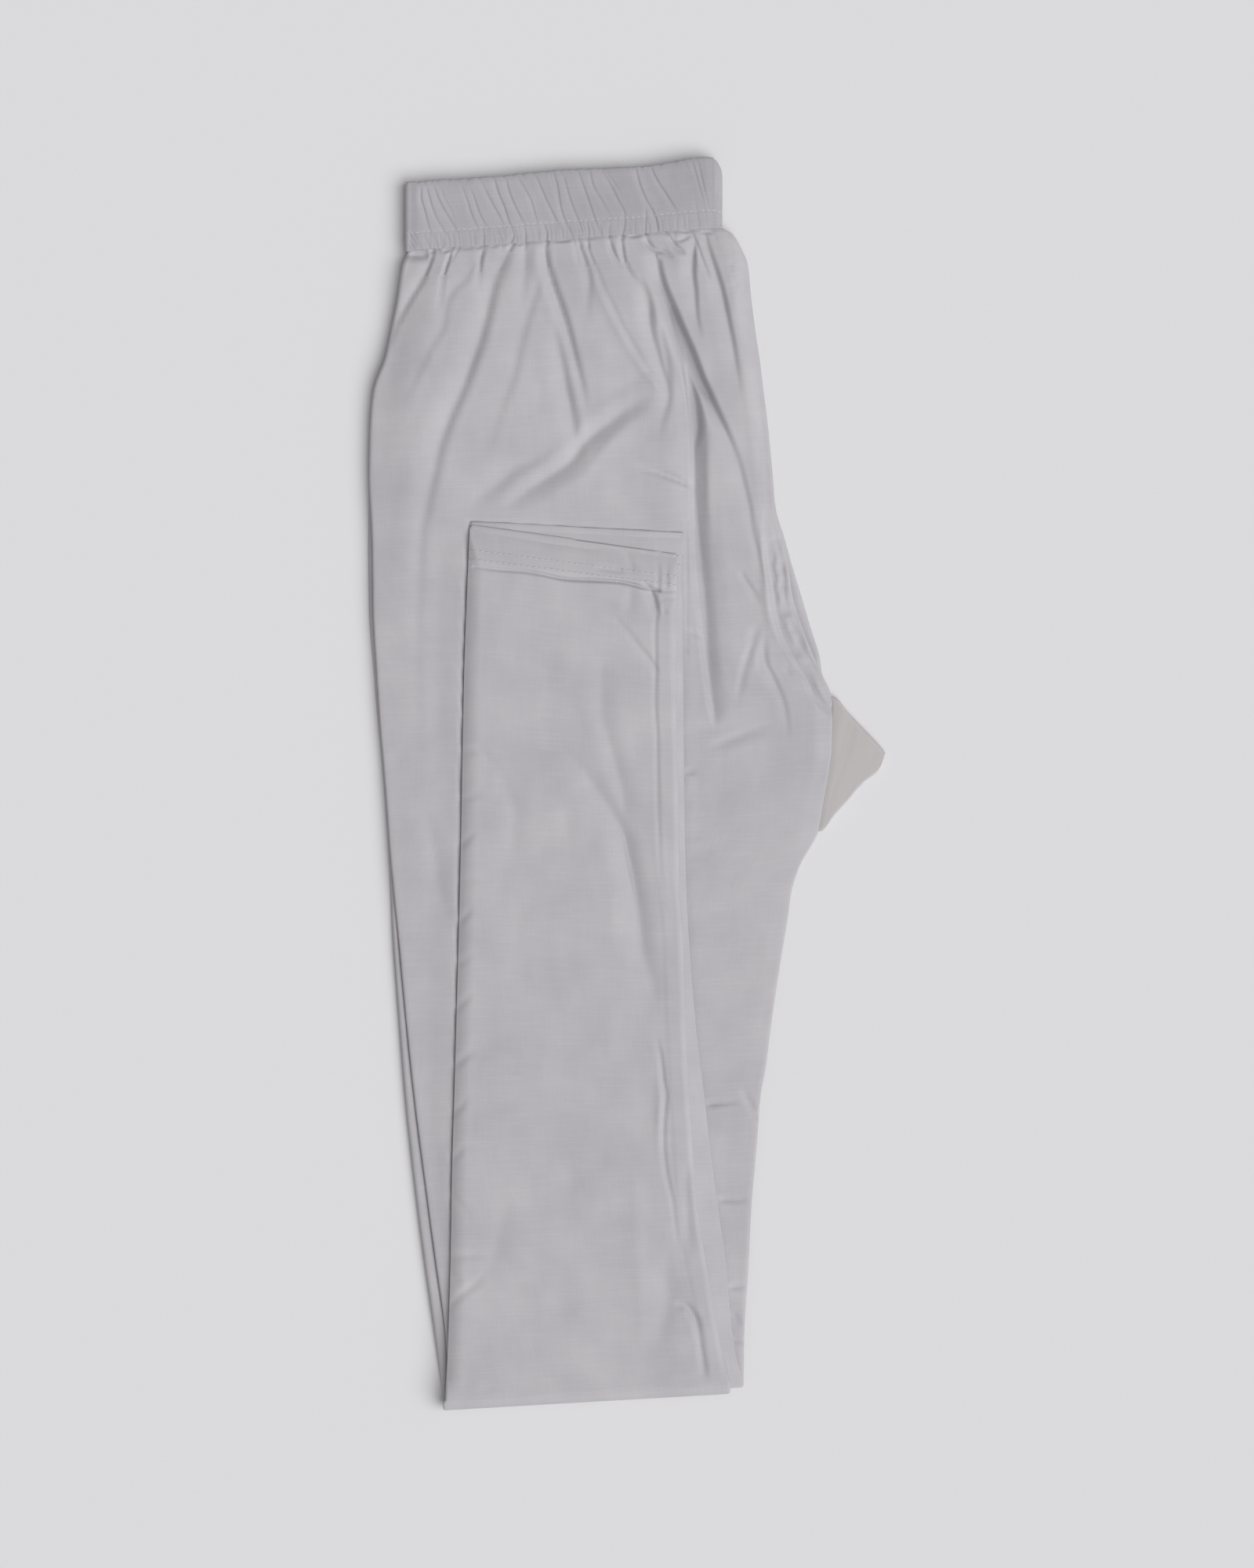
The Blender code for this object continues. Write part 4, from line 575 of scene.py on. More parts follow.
        (4.0, 3.2, (-62, 128, 0), (-38, 146, 0.9), (-10, 160, 1.1), (14, 178, 0.5), (24, 188, 0)),
        (3.6, 4.2, (64, 118, 0.4), (52, 100, 0.9), (44, 92, 0.6), (34, 90, 0)),
    ],
    "underDeepest": 1.1,
    # half length, depth, then x, y along the rise seam where it puckers
    "puckerSeams": [
        (2.2, 0.5, (52.4, 264), (54.8, 254), (58.4, 246), (60.8, 235), (62.8, 222)),
        (1.0, 0.3, (63.5, 222), (66.0, 208), (68.5, 188), (70.5, 168), (72.4, 140)),
        (2.2, 0.6, (76.2, 124), (79.0, 112), (81.0, 100), (82.4, 88), (86.0, 76), (91.6, 64), (98.0, 56)),
    ],
    "puckerStep": 2.6,
    "puckerWidth": (1.2, 1.0),
    "puckerSeed": 14,
    # how much one pucker differs from the next
    "puckerStart": 0.5,
    "puckerShift": 0.4,
    "puckerLengths": (0.5, 1.2),
    "puckerDepths": (0.4, 1.3),
    "puckerBend": 0.9,
    "puckerFade": 0.3,                # what is left of its depth at the far end
}

shank = {
    # y, left leg, right leg
    "outer": [(133, -79.8, -80.0), (103, -80.6, -81.2), (61, -82.0, -82.8), (25, -82.8, -83.6),
              (-40, -84.0, -84.8), (-120, -86.0, -86.9), (-160, -87.2, -88.0), (-200, -88.4, -89.2),
              (-240, -89.0, -89.8), (-286, -89.2, -91.2), (-320, -89.5, -92.8)],
    "inner": [(128, 28.8, 26.2), (107, 28.2, 25.6), (72, 28.4, 25.2), (32, 28.8, 25.2), (-6, 29.2, 26.2),
              (-52, 30.2, 26.7), (-82, 31.8, 28.8), (-120, 34.8, 29.8), (-146, 37.8, 31.2),
              (-162, 39.8, 32.1), (-186, 42.4, 33.6), (-206, 45.2, 35.0), (-226, 47.8, 37.6),
              (-242, 50.4, 40.2), (-260, 51.8, 43.6), (-286, 54.4, 47.8), (-305, 59.4, 52.6)],
    # y of each hem at the outer side and at the inner side
    "hem": {"left_leg": (133.2, 127.6), "right_leg": (131.2, 116.8)},
    # y, height of the thighs that the lower legs lie on
    "bed": [(-320, 5.55), (-120, 5.55), (0, 6.0), (100, 6.9), (140, 7.3)],
    "length": 440.0,                  # from the knee fold to the hem
    "hemDepth": 18.0,
    "hemRaise": 0.45,
    "hemStep": 1.5,
    # round the hem's edge: how far past it, and how far inside the cloth's inner face
    "hemTurn": [(0.3, -0.38), (0.42, 0.0), (0.3, 0.4), (-0.6, 0.55)],
    "seamStrip": 10.5,                # pressed inseam allowance
    "seamRaise": 0.3,
    "seamStep": 1.8,
    "kneeSettle": 8.0,                # folds grow to their full depth over this length from the knee
    "kneeSteps": 12,
    # pressed cloth is thinner at its edges: part that is left and the reach, at the outer edge, the
    # inner edge and the hem; at the sides it starts this far up from the knee
    "edgeThinness": (0.45, 0.75),
    "edgeReach": (8.0, 3.0),
    "hemThinness": 0.13,
    "hemReach": 25.0,
    "thinCurve": 2.0,
    "thinStart": 14.0,
    "hemSettle": 0.3,                 # at the hems each leg lies this much closer to what is below
    "thinnest": 0.1,                  # space that is left inside the leg
    "unevenness": 0.22,
    "noise": [(1, 30, 42, 11), (0.5, 8, 26, 12), (0.2, 4, 12, 13)],
    "folds": [
        # long diagonal fold
        (5.5, 4, (-58, 26, 0), (-44, 19.2, 0.72), (-32, 16, 1.01), (-22, 6, 1.45), (-15.2, -4, 1.74),
         (-8, -14, 2.03), (-2, -26, 2.32), (0, -36, 2.46), (2, -44, 2.46), (4.8, -60, 2.32),
         (6.4, -72, 2.03), (8, -86, 1.59), (11.2, -96, 1.16), (13.6, -106, 0.72), (15.2, -116, 0)),
        (3.5, 3.5, (-14, 42, 0), (-14, 38, 0.58), (-12, 30, 0.87), (-8.8, 20, 1.01), (-6, 10, 1.16),
         (-3.2, 0, 1.16), (-1.2, -12, 0.87), (-0.8, -22, 0)),
        (5, 5, (-64, 10, 0), (-62, 0, 0.72), (-58, -12, 0.87), (-58, -24, 0.72), (-60, -48, 0)),
        (4, 4, (-33.6, -10, 0), (-31.2, -18, 0.72), (-28.8, -30, 0)),
        (4, 4, (-13.2, 64, 0), (-12.8, 56, 0.58), (-12.4, 34, 0.72), (-8, 20, 0.58), (-4, 6.4, 0)),
        (5, 4, (12, -4, 0), (14.4, -24, -0.58), (16.8, -44, -0.72), (18.4, -64, -0.58), (19.2, -80, 0)),
        # crease below the hem corner
        (1.5, 1, (-6.8, 84.8, 0), (-4, 81.6, 0.72), (0.8, 76.8, 0.87), (5.6, 70.4, 1.16), (10.4, 64.8, 1.3),
         (14.4, 59.2, 1.16), (15.6, 56, 0)),
        (1.2, 0.9, (15.2, -128, 0), (16, -134, 0.58), (17.2, -138.4, 1.01), (18.4, -150.4, 1.3),
         (19.6, -158.4, 1.45), (18.8, -169.6, 1.45), (18.4, -182.4, 1.16), (20, -198, 0.87),
         (23.2, -212, 0.72), (24.8, -225.6, 0.58), (26.4, -236, 0)),
        (2, 2.4, (14.4, -148, 0), (16.4, -158, -0.72), (16.4, -176, -0.72), (16.8, -190, 0)),
        (3, 3, (31.2, -192, 0), (30.4, -200, 0.72), (30.4, -212, 0.87), (31.2, -230, 0.72),
         (32.4, -240, 0)),
        (4, 4, (20, -234, 0), (20, -248, 0.72), (20.8, -264, 0.87), (18, -276, 0.72), (15.2, -288, 0)),
        (5, 5, (6, -192, 0), (4.8, -212, -0.58), (6, -240, -0.72), (7.2, -268, -0.58), (6, -290, 0)),
        (6, 6, (-60, -208, 0), (-64, -224, 0.72), (-68, -240, 0.72), (-72, -252, 0)),
        (5, 5, (-36, -194, 0), (-27.2, -200, 0.72), (-20.8, -204.8, 0)),
        (5, 5, (-42, -260, 0), (-34, -264.8, 0.72), (-26, -270, 0)),
        # puckers of the pressed outer edge
        (2, 2, (-84, 16.8, 0.72), (-80, 16.8, 0.72), (-74.8, 16.8, 0.63), (-70, 12, 0.54),
         (-64.4, 7.2, 0.36), (-62, 0, 0)),
        (1.6, 2, (-84, -7.2, 0.81), (-80, -6.8, 0.72), (-72.8, -4, 0)),
        (1.6, 2, (-84, -30.4, 0.9), (-80.8, -27.6, 0.72), (-76, -23.2, 0)),
        (1.8, 1.8, (-84.8, -48.8, 0.63), (-78, -48.8, 0.45), (-67.2, -49.2, 0)),
        (1.6, 2, (-84.8, -69.6, 0.9), (-81.6, -66.4, 0.72), (-78, -62.4, 0)),
        (1.6, 2, (-86, -90.8, 0.72), (-82.4, -89.2, 0.63), (-77.6, -87.2, 0)),
        (1.6, 2, (-87.2, -114.4, 0.9), (-83.2, -110.8, 0.72), (-77.2, -105.2, 0)),
        (1.6, 2.2, (-88, -143.6, 0.99), (-83.2, -139.6, 0.81), (-76.4, -134, 0)),
        (1.6, 2.2, (-88.8, -167.6, 0.9), (-84.8, -164, 0.72), (-80, -158.4, 0)),
        (1.6, 2, (-89.2, -191.2, 0.72), (-85.6, -187.6, 0.63), (-81.6, -184.4, 0.36), (-64, -185.2, 0)),
        (2, 1.6, (-89.2, -210, 0.81), (-84.8, -213.6, 0.72), (-78.8, -219.2, 0)),
        (2, 2, (-89.6, -240, 0.81), (-84, -239.6, 0.81), (-75.2, -239.2, 0.63), (-65.6, -239.2, 0.45),
         (-60, -242, 0.36), (-48, -248, 0)),
        (1.8, 1.8, (-90.8, -248, 0.63), (-87.2, -251.6, 0.54), (-83.2, -256, 0)),
        (1.8, 1.8, (-90.8, -265.6, 0.81), (-86, -260.8, 0.81), (-80, -256, 0.72), (-75.2, -252, 0.45),
         (-71.2, -247.2, 0)),
        # pressed corner
        (1.6, 1.6, (23.2, -264.8, 0), (26.4, -264.8, 1.45), (30, -265.2, 1.74), (32.4, -268, 2.03),
         (35.2, -272.4, 1.89), (36.8, -280, 1.3), (37.6, -286.8, 1.3), (38.8, -296, 1.16),
         (39.2, -305.6, 0)),
        (3, 3, (-80, -317.6, 0.58), (-75.2, -313.6, 0.87), (-71.2, -309.6, 0.72), (-66.4, -305.2, 0)),
        (2.4, 2.4, (24, -312.8, 0.58), (27.2, -307.2, 0.87), (29.6, -301.6, 0)),
        # step where the hem ends, deeper towards the inseam
        (0.9, 0.7, (-77.6, 110.4, 0.7), (-64, 108.8, 1.1), (-52, 108, 1.3), (-42.4, 106.4, 1.6),
         (-32.8, 104.4, 2.1), (-20.8, 103.6, 2.2), (-4, 102.8, 2.1), (8, 100, 2.2), (16.4, 98.4, 2.2)),
        # opening at the end of the inseam
        (2.4, 1.1, (11.2, 100, 1.8), (12.8, 96.8, 2.3), (14.4, 92, 2.2), (15.6, 86.4, 0.7)),
        (1.6, 1.6, (-4, 120, 0), (-1.6, 117.6, 0.9), (0.8, 114.8, 1.2), (2.4, 110.4, 1), (3.2, 106.4, 0)),
        (1.6, 1.6, (-15.2, 111.2, 0), (-12.8, 109.6, 0.8), (-4, 108.4, 0.8), (-1.6, 108.4, 0)),
        (1.6, 1.8, (-64, 126.4, 0), (-48, 124.4, 0.6), (-40, 123.2, 0.9), (-22, 120.4, 0.9),
         (-14, 118.4, 0)),
        (2.4, 2.4, (1.2, 101.6, 0), (1.6, 96, 0.6), (1.2, 89.6, 0.4), (0.8, 85.6, 0)),
        # ends of the inseam's seam allowance
        (0.9, 0.9, (16, 112, 0.3), (16, 105.6, 0.7), (16, 100, 0.7)),
        (0.9, 0.9, (20, 112, 0.3), (20, 106, 0.7), (20, 100, 0.6)),
        (0.9, 0.9, (25.2, 111.2, 0.2), (25.2, 106, 0.5), (24.8, 100.8, 0.4)),
        (0.9, 0.9, (18, 98, 0.5), (24.8, 98.4, 0.4)),
        (0.9, 0.9, (17.6, 94, 0.4), (23.2, 94.4, 0.4)),
        (1, 1, (18.4, 89.6, 0.2), (19.2, 87.6, 0.6), (19.6, 85.6, 0.1)),
        # edge of the inseam's seam allowance
        (0.9, 0.9, (14.8, 87.2, 0.5), (14, 76, 0.5), (14.4, 60, 0.6), (14, 40, 0.55), (15.2, 24.8, 0.5),
         (15.2, 6.4, 0.5), (16, -24, 0.4), (18, -52, 0.3), (19.6, -68, 0)),
        (0.8, 0.8, (23.6, 88.8, 0.25), (23.6, 56.8, 0.3), (26.4, 30, 0.3), (28.4, 6.4, 0.25)),
        (0.8, 0.8, (28, -96, 0), (29.2, -120, 0.35), (30, -144, 0.8), (32, -168, 0.9), (33.6, -188, 1),
         (35.2, -204, 1), (38, -228, 1.1), (41.2, -244, 1.2), (44, -268, 1.2), (48, -288, 1),
         (50.4, -304, 0.7)),
        # a pulled thread
        (0.8, 0.8, (33.2, -283.2, 0.4), (34, -284.8, 0.4)),
    ],
}

underAt = smoothLine(thigh["heights"], 1)
edgeAt = smoothLine(thigh["heights"], 2)
crownAt = smoothLine(thigh["heights"], 3)
bedAt = smoothLine(shank["bed"])
kneeCentre = float(bedAt(shared["kneeFold"][0])) + shared["layerGap"] / 2


class Leg:
    def __init__(self, name):
        column = 1 if name == "left_leg" else 2
        self.name = name
        self.isLeft = name == "left_leg"
        self.thighOuter = smoothLine(thigh["outer"], column)
        self.thighInner = smoothLine(thigh["inner"], column)
        self.shankOuter = smoothLine(shank["outer"], column)
        self.shankInner = smoothLine(shank["inner"], column)
        outerKnee, innerKnee = shared["kneeFold"]
        self.knee = float(self.thighOuter(outerKnee)), float(self.thighInner(innerKnee))
        self.hem = shank["hem"][name]
        # the left leg lies on the right one; folded over, its lower half is the inner one
        step = shared["legWall"] + shared["layerGap"]
        self.floor = step if self.isLeft else 0.0
        self.aboveBed = shared["layerGap"] + (0.0 if self.isLeft else step)


leftLeg, rightLeg = Leg("left_leg"), Leg("right_leg")


def fromShank(x, y):
    # distance outside the lower legs that lie on the thigh
    outer, inner = leftLeg.shankOuter(y), leftLeg.shankInner(y)
    hem = mix(*leftLeg.hem, (x - outer) / (inner - outer))
    return np.maximum(np.maximum(outer - x, (x - inner) * thigh["innerCloser"]), y - hem)


def seamPuckers(look):
    # small cross creases, each a little different, along seams that draw the cloth in
    random = np.random.default_rng(look["puckerSeed"])
    shift, bend = look["puckerShift"], look["puckerBend"]
    rows = []
    for halfLength, depth, *route in look["puckerSeams"]:
        route = np.array(route, float)
        for a, b in zip(route, route[1:]):
            run = b - a
            length = np.hypot(*run)
            across = np.array([run[1], -run[0]]) / length
            for t in np.arange(random.uniform(0, look["puckerStart"]), length, look["puckerStep"]):
                at = a + run * (t + random.uniform(-shift, shift)) / length
                reach = across * (halfLength * random.uniform(*look["puckerLengths"]))
                deep = depth * random.uniform(*look["puckerDepths"])
                bends = random.uniform(-bend, bend, (2, 2))
                start, end = at - reach + bends[0], at + reach + bends[1]
                rows.append((*look["puckerWidth"], (*start, 0.0), (*at, deep),
                             (*end, deep * look["puckerFade"])))
    return rows


fineFolds = thigh["seamFolds"] + seamPuckers(thigh)


def thighTop(leg, x, y, down, fromEdge):
    # height of a thigh's upper side
    under = underAt(down)
    if not leg.isLeft:
        beyond = np.maximum(leftLeg.thighOuter(y) - x, x - leftLeg.thighInner(y))
        return under + thigh["peekRise"] * ease(beyond / thigh["peekReach"])
    outerReach, innerReach = thigh["crownReach"]
    reach = np.where(x < leg.shankInner(y), outerReach, innerReach)
    crown = mix(edgeAt(down), crownAt(down), ease(fromEdge / reach))
    held = mix(thigh["seamHold"], 1.0, ease(down / thigh["seamSettle"]))
    held = held * ease(fromEdge / thigh["foldReach"])
    uneven = noiseLayers(x, y, *thigh["noise"])
    fine = creaseDepth(fineFolds, x, y) * ease(fromEdge / thigh["seamEdgeReach"])
    free = crown + (uneven * thigh["unevenness"] - creaseDepth(thigh["folds"], x, y)) * held - fine
    away, edgeward = thigh["besideReach"]
    besides = ease(1 - (leg.shankOuter(y) - x) / away) * ease(fromEdge / edgeward)
    besides = besides * ease((leg.hem[1] - y) / edgeward) * (x < leg.shankOuter(y))
    free = free + thigh["besideLegs"] * besides
    loose = ease((fromShank(x, y) - thigh["pressedBorder"]) / thigh["pressedReach"])
    free = mix(bedAt(y), free, loose)
    free = np.maximum(free, under + shared["layerGap"] + thigh["thinnest"])
    tuckLength, tuckDrop = thigh["tuck"]
    return free - tuckDrop * ease(1 - (down + tuckLength) / (2 * tuckLength))


def shankRelief(leg, x, y, toHem, toInseam):
    # how far the cloth of a lower leg stands up; only the right one, which lies on top, has folds
    if not leg.isLeft:
        folds = creaseDepth(shank["folds"], x, y)
        uneven = noiseLayers(x, y, *shank["noise"])
    else:
        folds, uneven = 0.0, 0.0
    hem = shank["hemRaise"] * ease((shank["hemDepth"] - toHem) / shank["hemStep"] + 0.5)
    seam = shank["seamRaise"] * ease((shank["seamStrip"] - toInseam) / shank["seamStep"])
    return hem + seam + uneven * shank["unevenness"] - folds


def section(left, right, inner, outer, innerPlaces, outerPlaces, edgeSteps):
    # x and height offset round flattened rings, one ring a row: the side within the knee fold from
    # left to right, the right edge, the other side from right to left, the left edge
    half = (inner(left) - outer(left)) / 2
    low, high = left + half, right - half
    angles = np.linspace(0, math.pi, edgeSteps, endpoint=False)[None, :]
    innerX, outerX = mix(low, high, innerPlaces), mix(high, low, outerPlaces)
    xs, offsets = [innerX], [inner(innerX)]
    for side, centre in ((1, high), (-1, low)):
        top, bottom = inner(centre), outer(centre)
        xs.append(centre + side * half * np.sin(angles))
        offsets.append((top + bottom) / 2 + side * (top - bottom) / 2 * np.cos(angles))
        if side > 0:
            xs.append(outerX)
            offsets.append(outer(outerX))
    return np.hstack(xs), np.hstack(offsets)


def thighRings(leg, downs, innerPlaces, outerPlaces, edgeSteps):
    # rings round a thigh at these distances down from the waist
    down = downs[:, None]
    t = down / thigh["length"]
    yLeft = mix(shared["waistSeam"][0] - shared["seamGap"], kneeY(leg.knee[0]), t)
    yRight = mix(shared["waistSeam"][1] - shared["seamGap"], kneeY(leg.knee[1]), t)
    left, right = leg.thighOuter(yLeft), leg.thighInner(yRight)
    floor = underAt(down) + shared["layerGap"]

    def lineY(x):
        return mix(yLeft, yRight, (x - left) / (right - left))

    def top(x):
        shape = np.broadcast(x, down).shape
        x = np.broadcast_to(x, shape)
        fromEdge = np.minimum(x - left, right - x)
        return thighTop(leg, x, np.broadcast_to(lineY(x), shape), np.broadcast_to(down, shape), fromEdge)

    def bottom(x):
        if leg.isLeft:
            return floor + 0 * x
        x = np.broadcast_to(x, np.broadcast(x, down).shape)
        fromEdge = np.minimum(x - left, right - x)
        raised = creaseDepth(thigh["underFolds"], x, lineY(x)) * ease(fromEdge / thigh["foldReach"])
        return np.clip(raised, 0, thigh["underDeepest"])

    x, z = section(left, right, top, bottom, innerPlaces, outerPlaces, edgeSteps)
    return np.stack([x, lineY(x), z], axis=2)


def kneeRings(leg, turns, innerPlaces, outerPlaces, edgeSteps):
    # rings round the leg as it turns over at the knee fold
    half = shared["legWall"] / 2
    turn = turns[:, None]
    left, right = leg.knee[0] + 0 * turn, leg.knee[1] + 0 * turn
    x, offset = section(left, right, lambda x: half + 0 * x, lambda x: -half + 0 * x,
                        innerPlaces, outerPlaces, edgeSteps)
    reach = kneeCentre - leg.floor - half - offset
    return np.stack([x, kneeY(x) - reach * np.sin(turn), kneeCentre - reach * np.cos(turn)], axis=2)


def shankRings(leg, ups, innerPlaces, outerPlaces, edgeSteps, inset=0.0):
    # rings round a lower leg at these distances up from the knee, or this far inside them
    up = ups[:, None]
    t = up / shank["length"]
    yLeft = mix(kneeY(leg.knee[0]), leg.hem[0], t)
    yRight = mix(kneeY(leg.knee[1]), leg.hem[1], t)
    left, right = leg.shankOuter(yLeft) + inset, leg.shankInner(yRight) - inset
    wall = shared["legWall"]
    started = ease(up / shank["thinStart"])

    def lineY(x):
        return mix(yLeft, yRight, (x - left) / (right - left))

    def near(distance, reach):
        # 1 at an edge, falling off fast at first
        return (1 - np.clip(distance / reach, 0, 1)) ** shank["thinCurve"]

    def lost(x, lower):
        # how much thinner the leg is here
        sides = [(1 - part) * near(away, reach) * started for part, reach, away
                 in zip(shank["edgeThinness"], shank["edgeReach"], (x - left, right - x))]
        apart = mix(lower.hem[0] - leg.hem[0], lower.hem[1] - leg.hem[1], (x - left) / (right - left))
        hem = (1 - shank["hemThinness"]) * near(shank["length"] - up + apart, shank["hemReach"])
        return wall * np.maximum(np.maximum(*sides), hem)

    def under(x):
        squeezed = np.minimum(inset, (wall - lost(x, leg)) / 2 - shank["thinnest"] / 2)
        settled = shank["hemSettle"] * near(shank["length"] - up, shank["hemReach"])
        if leg.isLeft:
            return wall / 2 - squeezed + settled
        return wall / 2 - squeezed + lost(x, leftLeg) + 2 * settled

    def outer(x):
        shape = np.broadcast(x, up).shape
        x = np.broadcast_to(x, shape)
        relief = shankRelief(leg, x, np.broadcast_to(lineY(x), shape), shank["length"] - up, right - x)
        thickness = wall - lost(x, leg)
        top = under(x) - np.maximum(thickness - 2 * inset, shank["thinnest"])
        return top - relief * ease(up / shank["kneeSettle"]) * thickness / wall

    x, offset = section(left, right, under, outer, innerPlaces, outerPlaces, edgeSteps)
    y = lineY(x)
    return np.stack([x, y, bedAt(y) + leg.aboveBed + shared["legWall"] / 2 - offset], axis=2)


def spread(*runs):
    # rows or columns: from, to, step of each run
    places = []
    for start, end, step in runs:
        places += list(np.linspace(start, end, round((end - start) / step), endpoint=False))
    return np.array(places + [runs[-1][1]])


def columns(*runs):
    # places from 0 to 1 across a side, without the last one, which the edge has
    return spread(*runs)[:-1][None, :]


def ringPlaces(innerPlaces, outerPlaces, edgeSteps):
    # where each point of a section lies round its ring, from 0 to 1
    edge = np.linspace(0, 0.1, edgeSteps, endpoint=False)
    return np.concatenate([0.4 * innerPlaces[0], 0.4 + edge, 0.5 + 0.4 * outerPlaces[0], 0.9 + edge])


def meshFromRings(name, zones, material, closedEnds=False):
    # each zone is (rings, places). Quads join its rings, and a strip of triangles joins two zones.
    # The cloth's own grain is kept as a UV map in metres
    points, grains, starts, sizes, v = [], [], [], [], 0.0
    for rings, places in zones:
        for ring in rings:
            around = np.linalg.norm(np.diff(ring, axis=0, append=ring[:1]), axis=1)
            if len(points) and len(points[-1]) == len(ring):
                v += np.linalg.norm(ring - points[-1], axis=1).mean()
            elif len(points):
                v += abs(ring[:, 1].mean() - points[-1][:, 1].mean())
            u = np.concatenate([[0], np.cumsum(around)]) - around.sum() / 2
            starts.append(sum(sizes))
            sizes.append(len(ring))
            points.append(ring)
            grains.append((u, v))
    faces, corners = [], []

    def addFace(*marks):
        # a mark is (ring, step); step may be one past the ring's end
        faces.append([starts[ring % len(starts)] + step % sizes[ring % len(starts)] for ring, step in marks])
        for ring, step in marks:
            u, v = grains[ring % len(starts)]
            corners.append((u[step] * mm, (v + (grains[-1][1] if ring >= len(starts) else 0)) * mm))

    number = -1
    for index, (rings, places) in enumerate(zones):
        for row in range(len(rings)):
            number += 1
            lastRow = row == len(rings) - 1
            if not lastRow or (closedEnds and index == len(zones) - 1):
                for step in range(len(rings[row])):
                    addFace((number, step), (number, step + 1), (number + 1, step + 1), (number + 1, step))
            elif index < len(zones) - 1:
                first = np.append(places, 1.0)
                second = np.append(zones[index + 1][1], 1.0)
                i = j = 0
                while i < len(first) - 1 or j < len(second) - 1:
                    if j == len(second) - 1 or (i < len(first) - 1 and first[i + 1] <= second[j + 1]):
                        addFace((number, i), (number, i + 1), (number + 1, j))
                        i += 1
                    else:
                        addFace((number, i), (number + 1, j + 1), (number + 1, j))
                        j += 1
    mesh = bpy.data.meshes.new(name)
    mesh.from_pydata((np.vstack(points) * mm).tolist(), [], faces)
    layer = mesh.uv_layers.new(name="clothGrain")
    layer.data.foreach_set("uv", np.array(corners).ravel())
    mesh.materials.append(material)
    mesh.polygons.foreach_set("use_smooth", np.ones(len(faces), bool))
    bm = bmesh.new()
    bm.from_mesh(mesh)
    bmesh.ops.recalc_face_normals(bm, faces=bm.faces)
    bm.to_mesh(mesh)
    bm.free()
    piece = bpy.data.objects.new(name, mesh)
    bpy.context.scene.collection.objects.link(piece)
    return piece


def giveWall(piece, thickness):
    # the cloth's own thickness, inwards
    wall = piece.modifiers.new("wall", "SOLIDIFY")
    wall.thickness = thickness * mm
    wall.offset = -1.0
    wall.use_even_offset = False
    return piece


def turnedHem(leg, innerPlaces, outerPlaces, edgeSteps):
    # the hem's edge and the cloth that is turned up inside it
    steps = [*shank["hemTurn"], (-shank["hemDepth"], shank["hemTurn"][-1][1])]
    return [shankRings(leg, np.array([shank["length"] + past]), innerPlaces, outerPlaces, edgeSteps,
                       shared["cloth"] + inside) for past, inside in steps]


# How closely the legs are meshed, finer where small folds show. Zones follow each other down the leg,
# each with its rows in mm below the waist seam, its columns from 0 to 1 across the side within the knee
# fold and across the other side, and the steps round each edge. A run is from, to, step. The last
# zone goes on round the knee, and its rows from there are in mm above the knee
waistRow, kneeRow, hemRow = -thigh["tuck"][0], thigh["length"], shank["length"]
hidden, hiddenMore = [(0, 1, 0.1)], [(0, 1, 0.2)]
middle, fineInner = (0.5, 0.72, 1 / 130), (0.72, 1, 1 / 225)
rightEdges = [(0, 0.03, 0.006), (0.03, 0.84, 0.13), (0.84, 1, 0.009)]
legMesh = {
    "left_leg": {
        "zones": [
            ([(waistRow, 13, 0.65)], [(0, 1, 1 / 300)], hidden, 6),
            ([(13.7, 30, 1.1), (30, 156, 1.54)], [(0, 0.5, 1 / 112), middle, fineInner], hidden, 6),
            # from here on the lower legs hide the middle
            ([(157.5, 282, 1.56)],
             [(0, 0.25, 1 / 112), (0.25, 0.66, 0.085), (0.66, 0.72, 1 / 130), fineInner], hidden, 6),
            ([(284, 434, 3.4), (434, 572, 1.3), (572, kneeRow, 2.8)],
             [(0, 0.17, 0.0095), (0.17, 0.66, 0.085), (0.66, 1, 0.0115)], hiddenMore, 5),
        ],
        "aboveKnee": [(0, 400, 14), (400, hemRow, 3)],
    },
    "right_leg": {
        "zones": [
            ([(waistRow, 195, 5)], rightEdges, [(0, 1, 1 / 60)], 5),
            ([(198, 330, 1.4), (330, 580, 6)], rightEdges, hidden, 5),
            # one row, at the knee fold itself
            ([(kneeRow, kneeRow, 1)],
             hidden, [(0, 0.14, 0.0085), (0.14, 0.84, 0.0135), (0.84, 1, 0.0052)], 5),
        ],
        "aboveKnee": [(0, 404, 1.6), (404, 417, 0.9), (417, 426, 0.45), (426, hemRow, 0.8)],
    },
}


def buildLeg(leg):
    mesh = legMesh[leg.name]
    zones = []
    for runs, inner, outer, edgeSteps in mesh["zones"]:
        sides = columns(*inner), columns(*outer), edgeSteps
        zones.append((thighRings(leg, spread(*runs), *sides), ringPlaces(*sides)))
    # the sides of the last zone go on round the knee and up to the hem
    thighEnd, places = zones.pop()
    turns = np.linspace(0, math.pi, shank["kneeSteps"])[1:-1]
    parts = [thighEnd, kneeRings(leg, turns, *sides), shankRings(leg, spread(*mesh["aboveKnee"]), *sides)]
    zones.append((np.vstack(parts + turnedHem(leg, *sides)), places))
    return giveWall(meshFromRings(leg.name + "_cloth", zones, legCotton), shared["cloth"])


leftPiece, rightPiece = buildLeg(leftLeg), buildLeg(rightLeg)
print("legs made:", len(leftPiece.data.polygons), len(rightPiece.data.polygons))


# waistband

